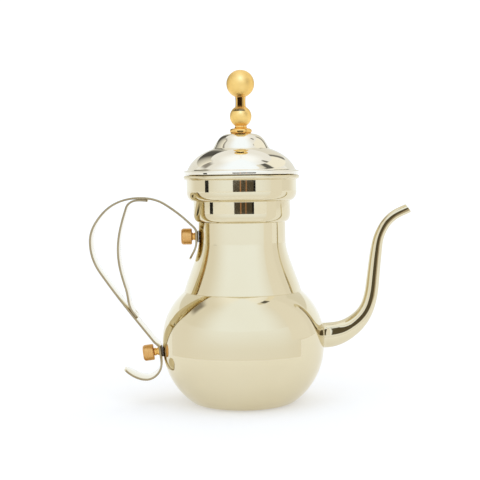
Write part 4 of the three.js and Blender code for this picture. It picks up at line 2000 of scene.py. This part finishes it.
class Cards:
    """Cards and screens that stand near the pot and only show in its reflections.

    Attributes:
        hoop_greys: The hoop's greys, each at its azimuth in degrees from -Y towards +X.
    """

    hoop_greys: tuple[Spot, ...] = (
        (34, 0.95),
        (47, 0.75),
        (51, 0.12),
        (64, 0.12),
        (68, 1.0),
        (124, 1.0),
        (127, 0.2),
        (133, 0.2),
        (137, 0.82),
        (194, 0.78),
        (205, 0.10),
        (222, 0.09),
        (238, 0.55),
        (264, 0.98),
    )

    def set_up(self, card: bpy.types.Object, name: str, light: Colour) -> NodeSheet:
        """Gives a card its light and keeps it out of sight.

        Args:
            card: The card.
            name: Its name.
            light: What it gives off.

        Returns:
            The nodes of its cloth.
        """
        card.name = card.data.name = name
        sheet = NodeSheet(f"{name}_cloth")
        sheet.set("Base Color", (0.0, 0.0, 0.0))
        sheet.set("Specular IOR Level", 0.0)
        sheet.set("Emission Color", light)
        sheet.set("Emission Strength", 1.0)
        card.data.materials.append(sheet.material)
        card.visible_camera = False
        card.visible_diffuse = False
        card.visible_shadow = False
        return sheet

    def upright(self, name: str, start: Spot, end: Spot, span: Spot, light: Colour) -> None:
        """An upright flat card.

        Args:
            name: Its name.
            start: Where one side stands, seen from above.
            end: Where the other side stands.
            span: Its lowest and highest point.
            light: What it gives off.
        """
        along = Vector(end) - Vector(start)
        middle = (*((Vector(start) + Vector(end)) / 2), sum(span) / 2)
        angle = math.atan2(along.y, along.x)
        clear_selection()
        bpy.ops.mesh.primitive_plane_add(location=middle, rotation=(math.pi / 2, 0.0, angle))
        card = bpy.context.object
        card.scale = (along.length / 2, (span[1] - span[0]) / 2, 1.0)
        into_place(card)
        self.set_up(card, name, light)

    def curved(self, name: str, low: Spot, high: Spot, azimuths: Spot, light: Colour) -> NodeSheet:
        """A screen bent round the axis.

        Args:
            name: Its name.
            low: Its radius and height at the bottom.
            high: Its radius and height at the top.
            azimuths: Where it starts and ends, in degrees from -Y towards +X.
            light: What it gives off.

        Returns:
            The nodes of its cloth.
        """
        clear_selection()
        bpy.ops.mesh.primitive_cone_add(
            vertices=120,
            radius1=low[0],
            radius2=high[0],
            depth=high[1] - low[1],
            end_fill_type="NOTHING",
            location=(0.0, 0.0, (low[1] + high[1]) / 2),
        )
        screen = bpy.context.object
        into_place(screen)
        bpy.ops.object.mode_set(mode="EDIT")
        bpy.ops.mesh.select_all(action="DESELECT")
        bpy.ops.object.mode_set(mode="OBJECT")
        for vertex in screen.data.vertices:
            azimuth = math.degrees(math.atan2(vertex.co.x, -vertex.co.y))
            vertex.select = (azimuth - azimuths[0]) % 360 > azimuths[1] - azimuths[0]
        bpy.ops.object.mode_set(mode="EDIT")
        bpy.ops.mesh.delete(type="VERT")
        bpy.ops.object.mode_set(mode="OBJECT")
        smooth(screen)
        return self.set_up(screen, name, light)

    def low_screen(self, radius: float, top: float, light: Colour, front: Colour) -> None:
        """The screen round the front of the pot, which carries the front light down to the floor.

        Args:
            radius: How far from the axis it stands.
            top: Its height.
            light: What it gives off at the sides and at the floor.
            front: What it gives off high up in front.
        """
        sheet = self.curved("low_screen", (radius, 0.0), (radius, top), (-110, 75), light)
        place = sheet.split(sheet.place)
        nearness = sheet.ramped(place["Y"], -0.09 * radius, -0.92 * radius)
        height = sheet.ramped(place["Z"], -0.5 * top, 1.5 * top)
        tone = sheet.blend_colours(sheet.math("MULTIPLY", nearness, height), light, front)
        sheet.set("Emission Color", tone)

    def hoop(self, low: Spot, high: Spot, azimuths: Spot) -> None:
        """The hoop round the lid, with the greys and the two dark gaps that its domes show.

        Args:
            low: Its radius and height at the bottom.
            high: Its radius and height at the top.
            azimuths: Where it starts and ends, in degrees from -Y towards +X.
        """
        sheet = self.curved("lid_hoop", low, high, azimuths, (1.0, 1.0, 1.0))
        place = sheet.split(sheet.place)
        turn = sheet.add("ShaderNodeMapRange")
        turn.inputs["From Min"].default_value = math.pi
        turn.inputs["From Max"].default_value = -math.pi
        sheet.join(sheet.math("ARCTAN2", place["X"], place["Y"]), turn.inputs["Value"])
        ramp = sheet.add("ShaderNodeValToRGB")
        sheet.join(turn.outputs["Result"], ramp.inputs["Fac"])
        stops = ramp.color_ramp.elements
        for azimuth, grey in self.hoop_greys:
            stop = stops.new(azimuth / 360)
            stop.color = (grey, 0.97 * grey, 0.87 * grey, 1.0)
        stops.remove(stops[0])
        stops.remove(stops[-1])
        sheet.set("Emission Color", ramp.outputs["Color"])


@dataclass
class Studio:
    """A pale floor, soft light from all round and the camera.

    Attributes:
        eye: Where the camera stands.
        heading: The camera's direction in the XY plane, in degrees from +Y towards +X.
        dip: How far it looks down, in degrees.
        roll: How far it is rolled clockwise, in degrees.
        lens: The lens in millimetres on a 36 mm sensor.
        side_light: The light at the sides and behind.
        front_light: The cool light of the big panel in front.
        dark: The colour of the dark cards.
        black: The colour of the black ones.
        card_span: The lowest and highest point of the cards that the collars show.
        floor_glow: How much the floor shines by itself.
        bounces: How often a ray may bounce between the polished pieces.
    """

    eye: tuple[float, float, float] = (-0.0231, -0.7246, 0.155)
    heading: float = 1.71
    dip: float = 3.525
    roll: float = 0.7
    lens: float = 80.2
    side_light: Colour = (0.94, 0.94, 0.93)
    front_light: Colour = (1.08, 1.18, 1.34)
    dark: Colour = (0.085, 0.072, 0.052)
    black: Colour = (0.008, 0.008, 0.008)
    card_span: Spot = (0.095, 0.152)
    floor_glow: float = 0.35
    bounces: int = 16

    def make_camera(self) -> None:
        """Sets up the camera."""
        data = bpy.data.cameras.new("camera")
        data.lens = self.lens
        data.sensor_width = 36.0
        data.clip_start = 0.01
        camera = bpy.data.objects.new("camera", data)
        bpy.context.scene.collection.objects.link(camera)
        turn = Matrix.Rotation(math.radians(-self.heading), 4, "Z")
        tilt = Matrix.Rotation(math.radians(90 - self.dip), 4, "X")
        roll = Matrix.Rotation(math.radians(-self.roll), 4, "Z")
        camera.matrix_world = Matrix.Translation(self.eye) @ turn @ tilt @ roll
        bpy.context.scene.camera = camera

    def make_sky(self) -> None:
        """White light all round: dimmer on the left, bright overhead and in front."""
        sky = Sky(self.side_light)
        panels = [
            SkyPanel(-95, 0, 35, 60, 40, (0.91, 0.91, 0.89)),
            SkyPanel(180, 0, 55, 30, 30, (1.08, 1.14, 1.22)),
            SkyPanel(0, 90, 180, 22, 22, (1.12, 1.17, 1.25)),
            SkyPanel(-3, 50, 58, 62, 56, self.front_light),
            SkyPanel(-112, 43, 15, 8, 9, (0.32, 0.30, 0.27)),
            SkyPanel(97, 59, 6, 5, 4, (0.20, 0.19, 0.17)),
        ]
        for panel in panels:
            sky.lay(panel)
        sky.finish()

    def make_cards(self) -> None:
        """Sets up the cards that the collars, the spout and the finial show, and their screens."""
        cards = Cards()
        span = self.card_span
        cards.upright("dark_card", (-0.205, -0.6), (0.24, -0.6), span, self.dark)
        cards.upright("black_card", (0.24, -0.6), (0.295, -0.6), span, self.black)
        cards.upright("warm_gap_left", (-0.052, -0.59), (-0.030, -0.59), span, (0.50, 0.26, 0.13))
        cards.upright("warm_gap_right", (0.066, -0.59), (0.088, -0.59), span, (0.42, 0.22, 0.11))
        cards.upright("side_card", (-0.515, -0.09), (-0.495, -0.173), span, (0.02, 0.02, 0.02))
        cards.low_screen(0.2, 0.1213, self.side_light, self.front_light)
        finial = (0.0065, 0.197), (0.0065, 0.2063)
        cards.curved("finial_card", *finial, (-62, 28), (0.03, 0.02, 0.015))
        ring = (0.0096, 0.1793), (0.0096, 0.1842)
        cards.curved("ring_card", *ring, (-28, 16), (0.04, 0.03, 0.02))
        span = (0.05, 0.155)
        cards.upright("spout_flag", (0.068, -0.055), (0.125, -0.055), span, (0.11, 0.092, 0.058))
        cards.upright("spout_tint", (0.125, -0.055), (0.165, -0.055), span, (0.50, 0.44, 0.34))
        span = (0.049, 0.165)
        cards.upright("spout_screen", (0.0615, -0.0575), (0.0615, -0.027), span, (0.98, 0.985, 0.985))
        cards.curved("lid_back_screen", (0.3, 0.17), (0.3, 0.36), (115, 245), (0.86, 0.86, 0.82))
        cards.hoop((0.088, 0.202), (0.1, 0.280), (34, 264))

    def make_floor(self) -> None:
        """The pale floor, lit a little from below so that it stays white."""
        clear_selection()
        bpy.ops.mesh.primitive_plane_add(size=8.0, location=(0, 0, -0.0002))
        floor = bpy.context.object
        floor.name = "studio_floor"
        sheet = NodeSheet("floor_paper")
        sheet.set("Roughness", 0.9)
        sheet.set("Specular IOR Level", 0.1)
        sheet.set("Emission Color", (1.0, 1.0, 1.0))
        sheet.set("Emission Strength", self.floor_glow)
        grain = sheet.ranged(sheet.noise(sheet.place, 3.0, 2.0), 0.0, 1.0)
        tone = sheet.blend_colours(grain, (0.68, 0.68, 0.68), (0.70, 0.70, 0.70))
        sheet.set("Base Color", tone)
        floor.data.materials.append(sheet.material)

    def make_finial_lamp(self, *pieces: bpy.types.Object) -> None:
        """A soft lamp above the camera that lights only the satin pieces.

        Args:
            *pieces: The pieces it lights.
        """
        data = bpy.data.lights.new("satin_lamp", "AREA")
        data.shape = "DISK"
        data.size = 0.16
        data.energy = 1.1
        data.color = (0.2, 0.36, 1.0)
        lamp = bpy.data.objects.new("satin_lamp", data)
        bpy.context.scene.collection.objects.link(lamp)
        target = Vector((0.0, 0.0, 0.21))
        lamp.location = target + Vector((-0.01, -0.45, 0.42))
        lamp.rotation_euler = (target - lamp.location).to_track_quat("-Z", "Y").to_euler()
        lit = bpy.data.collections.new("satin_pieces")
        for piece in pieces:
            lit.objects.link(piece)
        lamp.light_linking.receiver_collection = lit

    def build(self) -> None:
        """Builds the studio."""
        scene = bpy.context.scene
        scene.view_settings.view_transform = "Standard"
        scene.cycles.max_bounces = self.bounces
        scene.cycles.glossy_bounces = self.bounces
        self.make_camera()
        self.make_sky()
        self.make_floor()
        self.make_cards()


# ---------------------------------------------------------------- everything in order


def main() -> None:
    """Builds every sub-assembly."""
    studio = Studio()
    studio.build()
    trim, dark, polish = TRIM_GOLD.make(), SPACER_DARK_AND_GAP_SHADE.make(), CHAMPAGNE.make()
    Vessel().build(polish)
    upper = Fixing(Level.UPPER, Body.UPPER_CAP)
    lower = Fixing(Level.LOWER, Body.LOWER_CAP)
    for fixing in (upper, lower):
        fixing.build(trim, dark)
        fixing.dress_stud()
    Handle(upper, lower).build(polish)
    Lid().build()
    Finial().build(trim)
    studio.make_finial_lamp(bpy.data.objects["large_ball"], bpy.data.objects["small_ball"])


if __name__ == "__main__":
    main()
